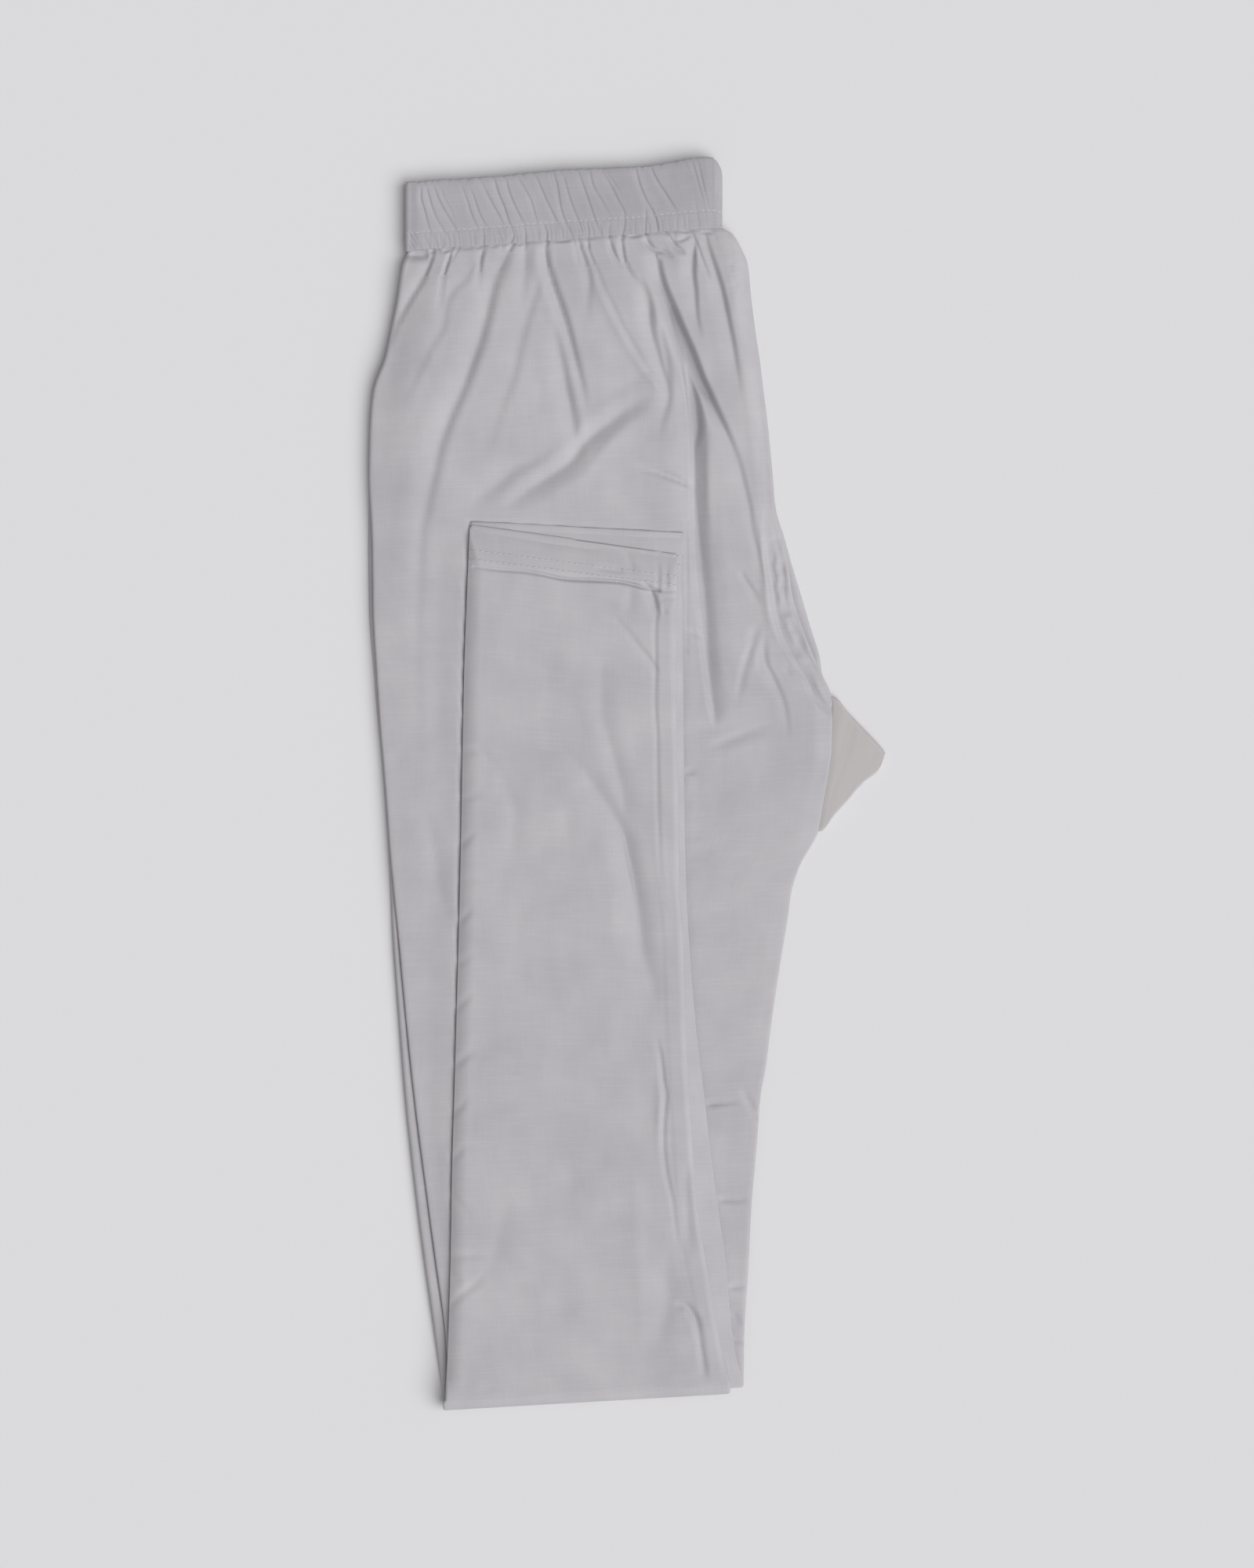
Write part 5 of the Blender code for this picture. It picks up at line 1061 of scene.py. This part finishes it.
band = {
    "wall": 1.8,                      # casing and elastic
    "gap": 0.4,
    "rise": 0.9,                      # the middle stands this far above the ends
    "riseReach": 5,
    "lowest": -1.0,                   # no gather is deeper than this
    "scallop": 0.45,                  # each gather draws the top edge in by this much
    "scallopWidth": 1.1,
    "scallopShift": 1.5,
    "scallopNear": 9,                 # gathers that start this near to the top edge do so
    # unevenness of the top edge, the seam edge and the rise
    "topNoise": (0.2, 2.5, 2.5, 33),
    "seamNoise": (0.25, 3, 3, 32),
    "riseNoise": (0.15, 9, 22, 31),
    # x, y of the top edge
    "topEdge": [(-113, 306.2), (-100, 307.2), (-68, 309.2), (-36, 312.4), (-20, 313.2), (-4, 313.6),
                (12, 314.8), (20, 316.0), (28, 317.6), (36, 318.8), (43, 318.8), (46, 316.5), (49, 311.0)],
    # from the seam (0) to the top edge (1): how full the wall is and how much of the gathers shows
    "rows": [(0.0, 0.85, 0.9), (0.03, 0.98, 1.0), (0.22, 1.0, 1.0), (0.255, 0.92, 0.9),
             (0.29, 1.0, 1.0), (0.90, 1.0, 1.0), (0.97, 0.85, 0.7), (1.0, 0.4, 0.4)],
    "outsideRows": [(0, 0.04, 3), (0.07, 0.93, 54), (0.96, 1.0, 3)],
    "insideRows": (1.0, 0.8, 0.6, 0.4, 0.2, 0.0),
    "columnStep": 0.36,
    "hiddenSteps": (40, 40, 150),     # of the other three layers, the last one on the floor
    "turnSteps": 6,
    "underDeepest": 0.8,
    "stitchRow": 0.255,               # lower edge of the elastic channel
    # gathers: left width, right width, then x, y, depth from the top edge down
    "gathers": [
        (1.3, 0.51, (-104.8, 302.8, 0.28), (-104.8, 297.2, 0.5), (-103.2, 292, 0.5), (-101.6, 285.6, 0.44),
         (-99.6, 278.8, 0.17)),
        (1.2, 0.51, (-101.6, 302.4, 0.28), (-100.8, 298.4, 0.44), (-98.4, 290.8, 0.44),
         (-95.2, 284.4, 0.39), (-92.4, 280.4, 0.33), (-89.2, 274.8, 0.11)),
        (1.3, 0.51, (-98, 302.8, 0.28), (-95.6, 296.4, 0.5), (-92, 290, 0.5), (-88, 283.6, 0.44),
         (-85.6, 280, 0.17)),
        (1, 0.42, (-95.2, 303.6, 0.17), (-92.4, 297.2, 0.28), (-89.2, 291.2, 0.22), (-86.8, 285.6, 0)),
        (1.2, 0.51, (-84, 303.6, 0.22), (-81.6, 297.2, 0.44), (-79.2, 289.6, 0.5), (-76, 282.4, 0.17)),
        (1.2, 0.51, (-79.6, 302.4, 0.22), (-77.6, 297.2, 0.44), (-75.2, 290, 0.44), (-72.8, 285.6, 0.44),
         (-70.4, 282.4, 0.17)),
        (1.3, 0.51, (-74, 306, 0.17), (-70.8, 299.2, 0.5), (-67.6, 293.2, 0.5), (-64.4, 287.6, 0.44),
         (-62, 283.2, 0.17)),
        (1.4, 0.55, (-67.6, 307.6, 0.39), (-65.6, 300.4, 0.61), (-62.4, 292.8, 0.61), (-60.4, 286.4, 0.55),
         (-58.4, 282.4, 0.33)),
        (1.3, 0.51, (-61.6, 307.2, 0.28), (-60, 300.8, 0.5), (-57.2, 294, 0.5), (-54, 287.6, 0.5),
         (-52, 284.8, 0.22)),
        (1.2, 0.51, (-56.4, 309.2, 0.28), (-52, 302.4, 0.5), (-48.8, 296.4, 0.5), (-47.2, 290.8, 0.44),
         (-45.6, 285.6, 0.17)),
        (1.3, 0.55, (-46.4, 308.8, 0.33), (-43.2, 301.6, 0.55), (-40, 294.4, 0.55), (-36.8, 288, 0.5),
         (-34.8, 283.6, 0.17)),
        (1.3, 0.51, (-37.6, 311.2, 0.33), (-35.6, 304, 0.5), (-34.4, 296.4, 0.5), (-33.2, 290.8, 0.5),
         (-30.8, 284.4, 0.44), (-28.4, 280, 0.33), (-26.4, 272.8, 0.17)),
        (1, 0.42, (-39.6, 310.8, 0.17), (-36.8, 302.8, 0.28), (-35.6, 296.8, 0.17)),
        (1.2, 0.51, (-32, 308, 0.28), (-28.8, 296.4, 0.44), (-24.4, 285.6, 0.39), (-22.4, 279.6, 0.22)),
        (1.3, 0.51, (-25, 311.8, 0.33), (-20, 297.6, 0.5), (-16, 286, 0.39), (-11.2, 275.2, 0.22)),
        (1.2, 0.47, (-19.2, 312.4, 0.28), (-17.2, 304, 0.44), (-12.8, 296.4, 0.39), (-8.8, 289.2, 0.11)),
        (1.3, 0.51, (-13.6, 312.4, 0.33), (-9.6, 306.8, 0.5), (-4.4, 296.4, 0.5), (-1.2, 290, 0.39),
         (-1.6, 282.4, 0.39), (-2.8, 278.4, 0.55)),
        (1.1, 0.42, (-10.8, 311.2, 0.22), (-6.4, 305.2, 0.39), (-3.2, 301.6, 0.11)),
        (1, 0.42, (-2, 292, 0.17), (2.4, 286, 0.22), (4.4, 282.4, 0)),
        (1.5, 0.59, (4.4, 313.2, 0.44), (6.4, 304.8, 0.66), (9.6, 297.2, 0.66), (13.6, 290, 0.66),
         (15.2, 284.4, 0.61), (16, 278, 0.5)),
        (1.1, 0.42, (10, 295.2, 0.17), (9.6, 289.2, 0.33), (9.2, 280, 0.39)),
        (1.5, 0.59, (12, 313.6, 0.5), (15.2, 306.8, 0.72), (19.2, 300.8, 0.72), (23.2, 294.4, 0.61),
         (26.4, 290, 0.11)),
        (1.1, 0.42, (33.2, 316.8, 0.28), (37.2, 302, 0.39), (39.6, 295.2, 0.11)),
        (1, 0.42, (36, 316.8, 0.28), (40.8, 296.4, 0.33), (42.4, 291.2, 0.11)),
        (1.2, 0.42, (29.6, 316.4, 0.22), (31.2, 312.4, 0.11)),
        (1, 0.42, (34.4, 298, 0.11), (35.6, 290, 0.22), (36.8, 283.2, 0.22)),
        (1, 0.42, (39.2, 295.2, 0.11), (40.4, 288, 0.22), (41.2, 282.8, 0.22)),
        (1, 0.42, (43.6, 292, 0.11), (44.4, 286.8, 0.22), (45.6, 283.2, 0.17)),
        (1.2, 0.42, (28, 283.2, 0.11), (28.8, 278.8, 0.28)),
        (1.2, 0.51, (-112.8, 286, 0.22), (-110.8, 280, 0.39), (-107.6, 275.2, 0.39), (-104.8, 271.6, 0.22)),
        (1, 0.42, (-112.8, 282.4, 0.17), (-111.2, 277.6, 0.33), (-109.2, 274.4, 0.33),
         (-107.6, 271.2, 0.17)),
        (1, 0.42, (-108.8, 280.8, 0.17), (-106, 275.2, 0.28), (-104, 271.6, 0.28)),
        (1, 0.42, (-102.8, 278, 0.11), (-100.8, 274, 0.28), (-100, 271.2, 0.28)),
        (1, 0.42, (-97.6, 278, 0.11), (-96.4, 273.6, 0.28), (-96, 271.2, 0.28)),
        (1, 0.42, (-93.6, 278.8, 0.11), (-93.2, 274.8, 0.22), (-94.4, 272, 0.28)),
        (1.2, 0.51, (-73.2, 281.2, 0.22), (-72.8, 277.2, 0.44), (-73.2, 273.6, 0.5)),
        (1, 0.42, (-65.6, 281.6, 0.17), (-64, 277.6, 0.22), (-63.2, 274, 0.17)),
        (1.4, 0.51, (-58.4, 282.4, 0.33), (-57.6, 278.4, 0.5), (-59.2, 275.2, 0.55)),
        (1.4, 0.51, (-52.4, 283.2, 0.22), (-51.6, 278.8, 0.5), (-52, 274.8, 0.55)),
        (1.4, 0.51, (-42, 284, 0.33), (-40.8, 280, 0.5), (-41.2, 275.6, 0.66)),
        (1, 0.42, (-46.4, 283.2, 0.11), (-45.2, 278.8, 0.17), (-44.8, 275.2, 0.11)),
        (1.2, 0.42, (-20, 284, 0.22), (-19.6, 280, 0.33), (-19.6, 276, 0.28)),
        (1.2, 0.42, (-9.2, 282.8, 0.33), (-9.2, 278.8, 0.44)),
        # shades beside the two strong gathers
        (4.5, 4.5, (8.8, 311.2, 0.28), (12, 302.8, 0.44), (15.2, 296.8, 0.39), (18.4, 292, 0.11)),
        (4, 4, (18.4, 314.8, 0.28), (21.2, 310.4, 0.39), (23.2, 305.6, 0.17)),
        # the rolled end
        (3, 4, (47.2, 305.6, 0), (47.6, 299.2, 0.44), (47.6, 292, 0.5), (46.8, 284.8, 0.39)),
        # long low waves of the casing
        (6, 6, (-89.2, 304, 0), (-84, 295.2, 0.19), (-79.6, 284, 0)),
        (7, 5, (-52, 307.2, 0), (-44, 296.8, 0.22), (-40, 287.2, 0)),
        (7, 5, (26, 314, 0), (32, 304, 0.22), (35.2, 295.2, 0)),
    ],
    # short puckers between the stitch row and the seam
    "puckerStep": (1.6, 4.6),
    "puckerDepth": (0.04, 0.22),
    "puckerLean": (0.5, 2.2),
    "puckerWidth": (0.55, 0.6),
    "puckerRun": (9, 6, 3, -1),       # up from the seam
    "puckerMargin": 2,
    "puckerSeed": 21,
}
bandTopAt = smoothLine(band["topEdge"])


def bandCreases(look):
    # the gathers and short random puckers
    rows = list(look["gathers"])
    random = np.random.default_rng(look["puckerSeed"])
    x = shared["bandSide"][0] + look["puckerMargin"]
    while x < shared["bandSide"][1] - look["puckerMargin"]:
        depth, lean = random.uniform(*look["puckerDepth"]), random.uniform(*look["puckerLean"])
        ys = [seamY(x) + up for up in look["puckerRun"]]
        route = zip((x - lean, x - lean / 2, x, x), ys, (0.0, depth, depth, depth))
        rows.append((*look["puckerWidth"], *route))
        x += random.uniform(*look["puckerStep"])
    return rows


def turnedOver(creases):
    # the same gathers the other way round, for the side that lies on the floor
    rows, sides = [], sum(shared["bandSide"])
    for left, right, *route in creases:
        turned = [(sides - x, y + seamY(sides - x) - seamY(x), depth) for x, y, depth in route]
        rows.append((right, left, *turned))
    return rows


bandFolds = bandCreases(band)
underBandFolds = turnedOver(band["gathers"])
bandWallAt = smoothLine(band["rows"], 1)
bandGatherAt = smoothLine(band["rows"], 2)


def foldedLoop(left, right, pitch, wall, offset, runs, turnSteps):
    # a flattened ring laid double, in section: x and z down its four layers and round its folds.
    # The offset is measured from the middle of the wall towards the outside of the garment
    heights = [wall / 2 + pitch * layer for layer in (3, 2, 1, 0)]
    low, high = left + pitch / 2 + wall / 2, right - pitch * 1.5 - wall / 2
    centre = (heights[0] + heights[3]) / 2
    levels = [heights[0] + offset, heights[1] - offset, heights[2] + offset, heights[3] - offset]
    ends = [(high, low), (low, high), (high, low), (low, high)]
    turns = [(low, (heights[0] + heights[1]) / 2, pitch / 2 + offset, 90, 270),
             (high, centre, pitch / 2 - offset, 90, -90),
             (low, (heights[2] + heights[3]) / 2, pitch / 2 + offset, 90, 270),
             (high, centre, pitch * 1.5 + offset, -90, 90)]
    xs, zs = [], []
    for (start, end), level, steps, (x, z, radius, first, last) in zip(ends, levels, runs, turns):
        xs.append(np.linspace(start, end, steps, endpoint=False))
        zs.append(np.full(steps, level))
        angles = np.radians(np.linspace(first, last, turnSteps, endpoint=False))
        xs.append(x + radius * np.cos(angles))
        zs.append(z + radius * np.sin(angles))
    return np.concatenate(xs), np.concatenate(zs)


def bandRing(at, side, seenSteps):
    # the ring at this height, from the seam (0) to the top edge (1); side is 1 outside, -1 inside
    wall, pitch = band["wall"], band["wall"] + band["gap"]
    offset = side * float(bandWallAt(at)) * wall / 2
    runs = [seenSteps, *band["hiddenSteps"]]
    x, z = foldedLoop(*shared["bandSide"], pitch, wall, offset, runs, band["turnSteps"])
    tops = bandTopAt(x) + noiseLayers(x, 0 * x, band["topNoise"])
    for left, right, start, *rest in band["gathers"]:
        if start[1] > bandTopAt(start[0]) - band["scallopNear"]:
            away = (x - start[0] + band["scallopShift"]) / band["scallopWidth"]
            tops = tops - band["scallop"] * np.exp(-away ** 2)
    y = mix(seamY(x) + noiseLayers(x, 0 * x, band["seamNoise"]), tops, at)
    if side > 0:
        seen = np.arange(len(x)) < seenSteps
        fromEnd = np.minimum(x - x[:seenSteps].min(), x[0] - x)
        uneven = 1 - band["riseNoise"][0] + noiseLayers(x, y, band["riseNoise"])
        rise = band["rise"] * ease(fromEnd / band["riseReach"]) * uneven
        relief = rise - creaseDepth(bandFolds, x, y)
        z = np.where(seen, z + np.maximum(relief, band["lowest"]) * float(bandGatherAt(at)), z)
        last = len(x) - band["turnSteps"]
        under = slice(last - band["hiddenSteps"][-1], last)
        raised = np.clip(creaseDepth(underBandFolds, x[under], y[under]), 0, band["underDeepest"])
        z[under] += raised * float(bandGatherAt(at))
    return np.stack([x, y, z], axis=1)


def buildBand():
    seenSteps = round((shared["bandSide"][1] - shared["bandSide"][0]) / band["columnStep"])
    places = np.concatenate([np.linspace(*run) for run in band["outsideRows"]])
    outside = [bandRing(at, 1, seenSteps) for at in places]
    inside = [bandRing(at, -1, seenSteps) for at in band["insideRows"]]
    return meshFromRings("waistband_cloth", [(outside + inside, None)], bandCottonPaintedShade, closedEnds=True)


bandPiece = buildBand()
print("waistband made:", len(bandPiece.data.polygons))


# gusset

gusset = {
    "wall": 1.1,
    # at the seam it runs this far under the leg's edge, and this part lower
    "underLeg": 1.7,
    "seamDrop": 0.12,
    "seamRows": 0.5,
    "rows": 25,
    "insideEvery": 6,                 # its inside has a row for every sixth one of its outside
    "layerSteps": (40, 12, 12, 12),
    "turnSteps": 6,
    # both ends of each section, on the back edge and the inseam edge, from the seam to the tip, and
    # how much of the leg seam's curve it keeps
    "sections": [(104.9, 46.2, 97.8, -24.6, 1.0), (109.4, 42.0, 100.4, -23.2, 0.8),
                 (112.0, 38.0, 105.6, -16.0, 0.5), (117.2, 32.0, 112.8, -8.0, 0.2),
                 (124.8, 24.0, 119.6, 0.0, 0.0), (130.4, 17.8, 127.6, 6.4, 0.0),
                 (131.6, 16.0, 129.6, 9.6, 0.0)],
}


def buildGusset():
    pitch = (2 * shared["legWall"] + shared["layerGap"] - gusset["wall"]) / 3
    backX0, backY0, inseamX0, inseamY0, _ = gusset["sections"][0]
    lines = [smoothLine(list(enumerate(values))) for values in zip(*gusset["sections"])]

    def ring(place, side):
        backX, backY, inseamX, inseamY, curved = (float(line(place)) for line in lines)
        length = math.hypot(backX - inseamX, backY - inseamY)
        along, z = foldedLoop(0.0, length, pitch, gusset["wall"], side * gusset["wall"] / 2,
                              gusset["layerSteps"], gusset["turnSteps"])
        t = along / length
        sewn = 1 - ease(place / gusset["seamRows"])
        bow = leftLeg.thighInner(mix(inseamY0, backY0, t)) + shared["seamGap"] - mix(inseamX0, backX0, t)
        x = mix(inseamX, backX, t) + curved * bow - gusset["underLeg"] * sewn
        return np.stack([x, mix(inseamY, backY, t), z * (1 - gusset["seamDrop"] * sewn)], axis=1)

    places = np.linspace(0, len(gusset["sections"]) - 1, gusset["rows"])
    outside = [ring(place, 1) for place in places]
    inside = [ring(place, -1) for place in places[::-gusset["insideEvery"]]]
    return meshFromRings("gusset_cloth", [(outside + inside, None)], gussetCotton, closedEnds=True)


gussetPiece = buildGusset()
print("gusset made:", len(gussetPiece.data.polygons))


# stitches

sewing = {
    "spacing": 3.0,
    "stitchLength": 2.3,
    "threadWidth": 0.5,
    "seed": 5,
    "variation": (0.86, 1.08),        # of a stitch's size
    "ballSteps": (8, 5),
    "hemRows": (12.0, 16.6),          # from the hem's edge
    "hemStand": 0.12,                 # how far the thread's middle lies above the cloth
    "hemColumns": 0.012,
    "hemTurnSteps": 6,
    "bandStand": -0.08,
    "bandColumns": 270,
}


def stitchTree():
    tree = bpy.data.node_groups.new("sewnStitches", "GeometryNodeTree")
    tree.interface.new_socket("Geometry", in_out="INPUT", socket_type="NodeSocketGeometry")
    for name in ("Spacing", "Stitch length", "Thread width"):
        tree.interface.new_socket(name, in_out="INPUT", socket_type="NodeSocketFloat")
    tree.interface.new_socket("Seed", in_out="INPUT", socket_type="NodeSocketInt")
    tree.interface.new_socket("Thread", in_out="INPUT", socket_type="NodeSocketMaterial")
    tree.interface.new_socket("Geometry", in_out="OUTPUT", socket_type="NodeSocketGeometry")
    given = addNode(tree, "NodeGroupInput").outputs
    row = addNode(tree, "GeometryNodeMeshToCurve", None, {"Mesh": given["Geometry"]})
    places = addNode(tree, "GeometryNodeResampleCurve", {"mode": "LENGTH"},
                     {"Curve": row.outputs["Curve"], "Length": given["Spacing"]})
    size = addNode(tree, "ShaderNodeCombineXYZ", None,
                   {"X": given["Stitch length"], "Y": given["Thread width"], "Z": given["Thread width"]})
    segments, rings = sewing["ballSteps"]
    ball = addNode(tree, "GeometryNodeMeshUVSphere", None,
                   {"Segments": segments, "Rings": rings, "Radius": 0.5})
    stitch = addNode(tree, "GeometryNodeTransform", None,
                     {"Geometry": ball.outputs["Mesh"], "Scale": size.outputs["Vector"]})
    tangent = addNode(tree, "GeometryNodeInputTangent")
    turn = addNode(tree, "FunctionNodeAlignRotationToVector", {"axis": "X"},
                   {"Vector": tangent.outputs["Tangent"]})
    smallest, largest = sewing["variation"]
    varied = addNode(tree, "FunctionNodeRandomValue", {"data_type": "FLOAT"},
                     {"Seed": given["Seed"], 2: smallest, 3: largest})
    placed = addNode(tree, "GeometryNodeInstanceOnPoints", None,
                     {"Points": places.outputs["Curve"], "Instance": stitch.outputs["Geometry"],
                      "Rotation": turn.outputs["Rotation"], "Scale": varied.outputs[1]})
    real = addNode(tree, "GeometryNodeRealizeInstances", None, {"Geometry": placed.outputs["Instances"]})
    done = addNode(tree, "GeometryNodeSetMaterial", None,
                   {"Geometry": real.outputs["Geometry"], "Material": given["Thread"]})
    addNode(tree, "NodeGroupOutput", None, {"Geometry": done.outputs["Geometry"]})
    return tree


sewnStitches = stitchTree()


def sewRows(name, rows):
    # rows of points in mm, turned into stitches and then into one plain mesh
    points, edges = [], []
    for row in rows:
        start = len(points)
        points += [tuple(point) for point in np.asarray(row) * mm]
        edges += [(i, i + 1) for i in range(start, len(points) - 1)]
    guide = bpy.data.meshes.new(name + "_rows")
    guide.from_pydata(points, edges, [])
    carrier = bpy.data.objects.new(name + "_rows", guide)
    bpy.context.scene.collection.objects.link(carrier)
    sewn = carrier.modifiers.new("stitches", "NODES")
    sewn.node_group = sewnStitches
    values = {"Spacing": sewing["spacing"] * mm, "Stitch length": sewing["stitchLength"] * mm,
              "Thread width": sewing["threadWidth"] * mm, "Seed": sewing["seed"], "Thread": threadMaterial}
    for item in sewnStitches.interface.items_tree:
        if item.in_out == "INPUT" and item.name in values:
            sewn[item.identifier] = values[item.name]
    ready = carrier.evaluated_get(bpy.context.evaluated_depsgraph_get())
    mesh = bpy.data.meshes.new_from_object(ready)
    mesh.name = name
    piece = bpy.data.objects.new(name, mesh)
    bpy.context.scene.collection.objects.link(piece)
    bpy.data.objects.remove(carrier, do_unlink=True)
    return piece


def outwards(rings, distance):
    # a ring moved off the cloth by this distance, away from the ring's own middle layer
    ahead, behind = np.roll(rings, -1, axis=0), np.roll(rings, 1, axis=0)
    along = ahead - behind
    side = np.stack([-along[:, 2], np.zeros(len(along)), along[:, 0]], axis=1)
    side /= np.maximum(np.linalg.norm(side, axis=1, keepdims=True), 1e-6)
    area = np.sum(rings[:, 0] * ahead[:, 2] - ahead[:, 0] * rings[:, 2])
    return rings + side * distance * (-1 if area > 0 else 1)


def closed(ring):
    return np.vstack([ring, ring[:1]])


def hemRows(leg):
    rows, places = [], columns((0, 1, sewing["hemColumns"]))
    for fromHem in sewing["hemRows"]:
        up = np.array([shank["length"] - fromHem])
        ring = shankRings(leg, up, places, places, sewing["hemTurnSteps"])[0]
        rows.append(closed(outwards(ring, sewing["hemStand"])))
    return rows


leftStitches = sewRows("left_hem_stitches", hemRows(leftLeg))
rightStitches = sewRows("right_hem_stitches", hemRows(rightLeg))
bandRow = bandRing(band["stitchRow"], 1, sewing["bandColumns"])
bandStitches = sewRows("waistband_stitches", [closed(outwards(bandRow, sewing["bandStand"]))])
print("stitches made")


# what each piece stands for

for piece, node, stitches in ((leftPiece, "left_leg", leftStitches),
                              (rightPiece, "right_leg", rightStitches)):
    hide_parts(node)
    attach(piece, "root")
    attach(stitches, "root")
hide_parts("waistband")
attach(bandPiece, "root")
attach(bandStitches, "root")
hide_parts("gusset")
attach(gussetPiece, "root")


# floor, light and camera

studio = {
    "floor": "dedddf",
    "floorRoughness": 0.9,
    "floorSize": 8.0,
    "floorHeight": -0.0003,           # just below the cloth, so that the two don't flicker
    "air": ("f7f7f9", 0.34),
    # direction that it comes from, apparent size in degrees, strength
    "key": ((0.64, -0.34, 1.0), 60.0, 2.5),
    "cameraHeight": 2.6,
    "viewHeight": 0.8,
}

floorMaterial = bpy.data.materials.new("studio floor, matt paper")
floorMaterial.use_nodes = True
floorShader = floorMaterial.node_tree.nodes["Principled BSDF"]
floorShader.inputs["Base Color"].default_value = fromHex(studio["floor"])
floorShader.inputs["Roughness"].default_value = studio["floorRoughness"]
floorMesh = bpy.data.meshes.new("floor")
half = studio["floorSize"] / 2
floorCorners = [(x * half, y * half, studio["floorHeight"]) for x, y in ((-1, -1), (1, -1), (1, 1), (-1, 1))]
floorMesh.from_pydata(floorCorners, [], [(0, 1, 2, 3)])
floorMesh.materials.append(floorMaterial)
floor = bpy.data.objects.new("floor", floorMesh)
bpy.context.scene.collection.objects.link(floor)

world = bpy.data.worlds.new("studio air")
world.use_nodes = True
air = world.node_tree.nodes["Background"]
air.inputs["Color"].default_value = fromHex(studio["air"][0])
air.inputs["Strength"].default_value = studio["air"][1]
bpy.context.scene.world = world
bpy.context.scene.view_settings.view_transform = "Standard"

keyFrom, keySize, keyStrength = studio["key"]
keyLamp = bpy.data.lights.new("keySoftbox", "SUN")
keyLamp.angle = math.radians(keySize)
keyLamp.energy = keyStrength
keyBox = bpy.data.objects.new("keySoftbox", keyLamp)
keyBox.location = keyFrom
keyBox.rotation_euler = (-Vector(keyFrom)).to_track_quat("-Z", "Y").to_euler()
bpy.context.scene.collection.objects.link(keyBox)


camera = bpy.data.objects.new("camera", bpy.data.cameras.new("camera"))
camera.location = (0.0, 0.0, studio["cameraHeight"])
camera.data.sensor_width = 36.0
camera.data.lens = camera.data.sensor_width * studio["cameraHeight"] / studio["viewHeight"]
bpy.context.scene.collection.objects.link(camera)
bpy.context.scene.camera = camera
print("floor, light and camera set")
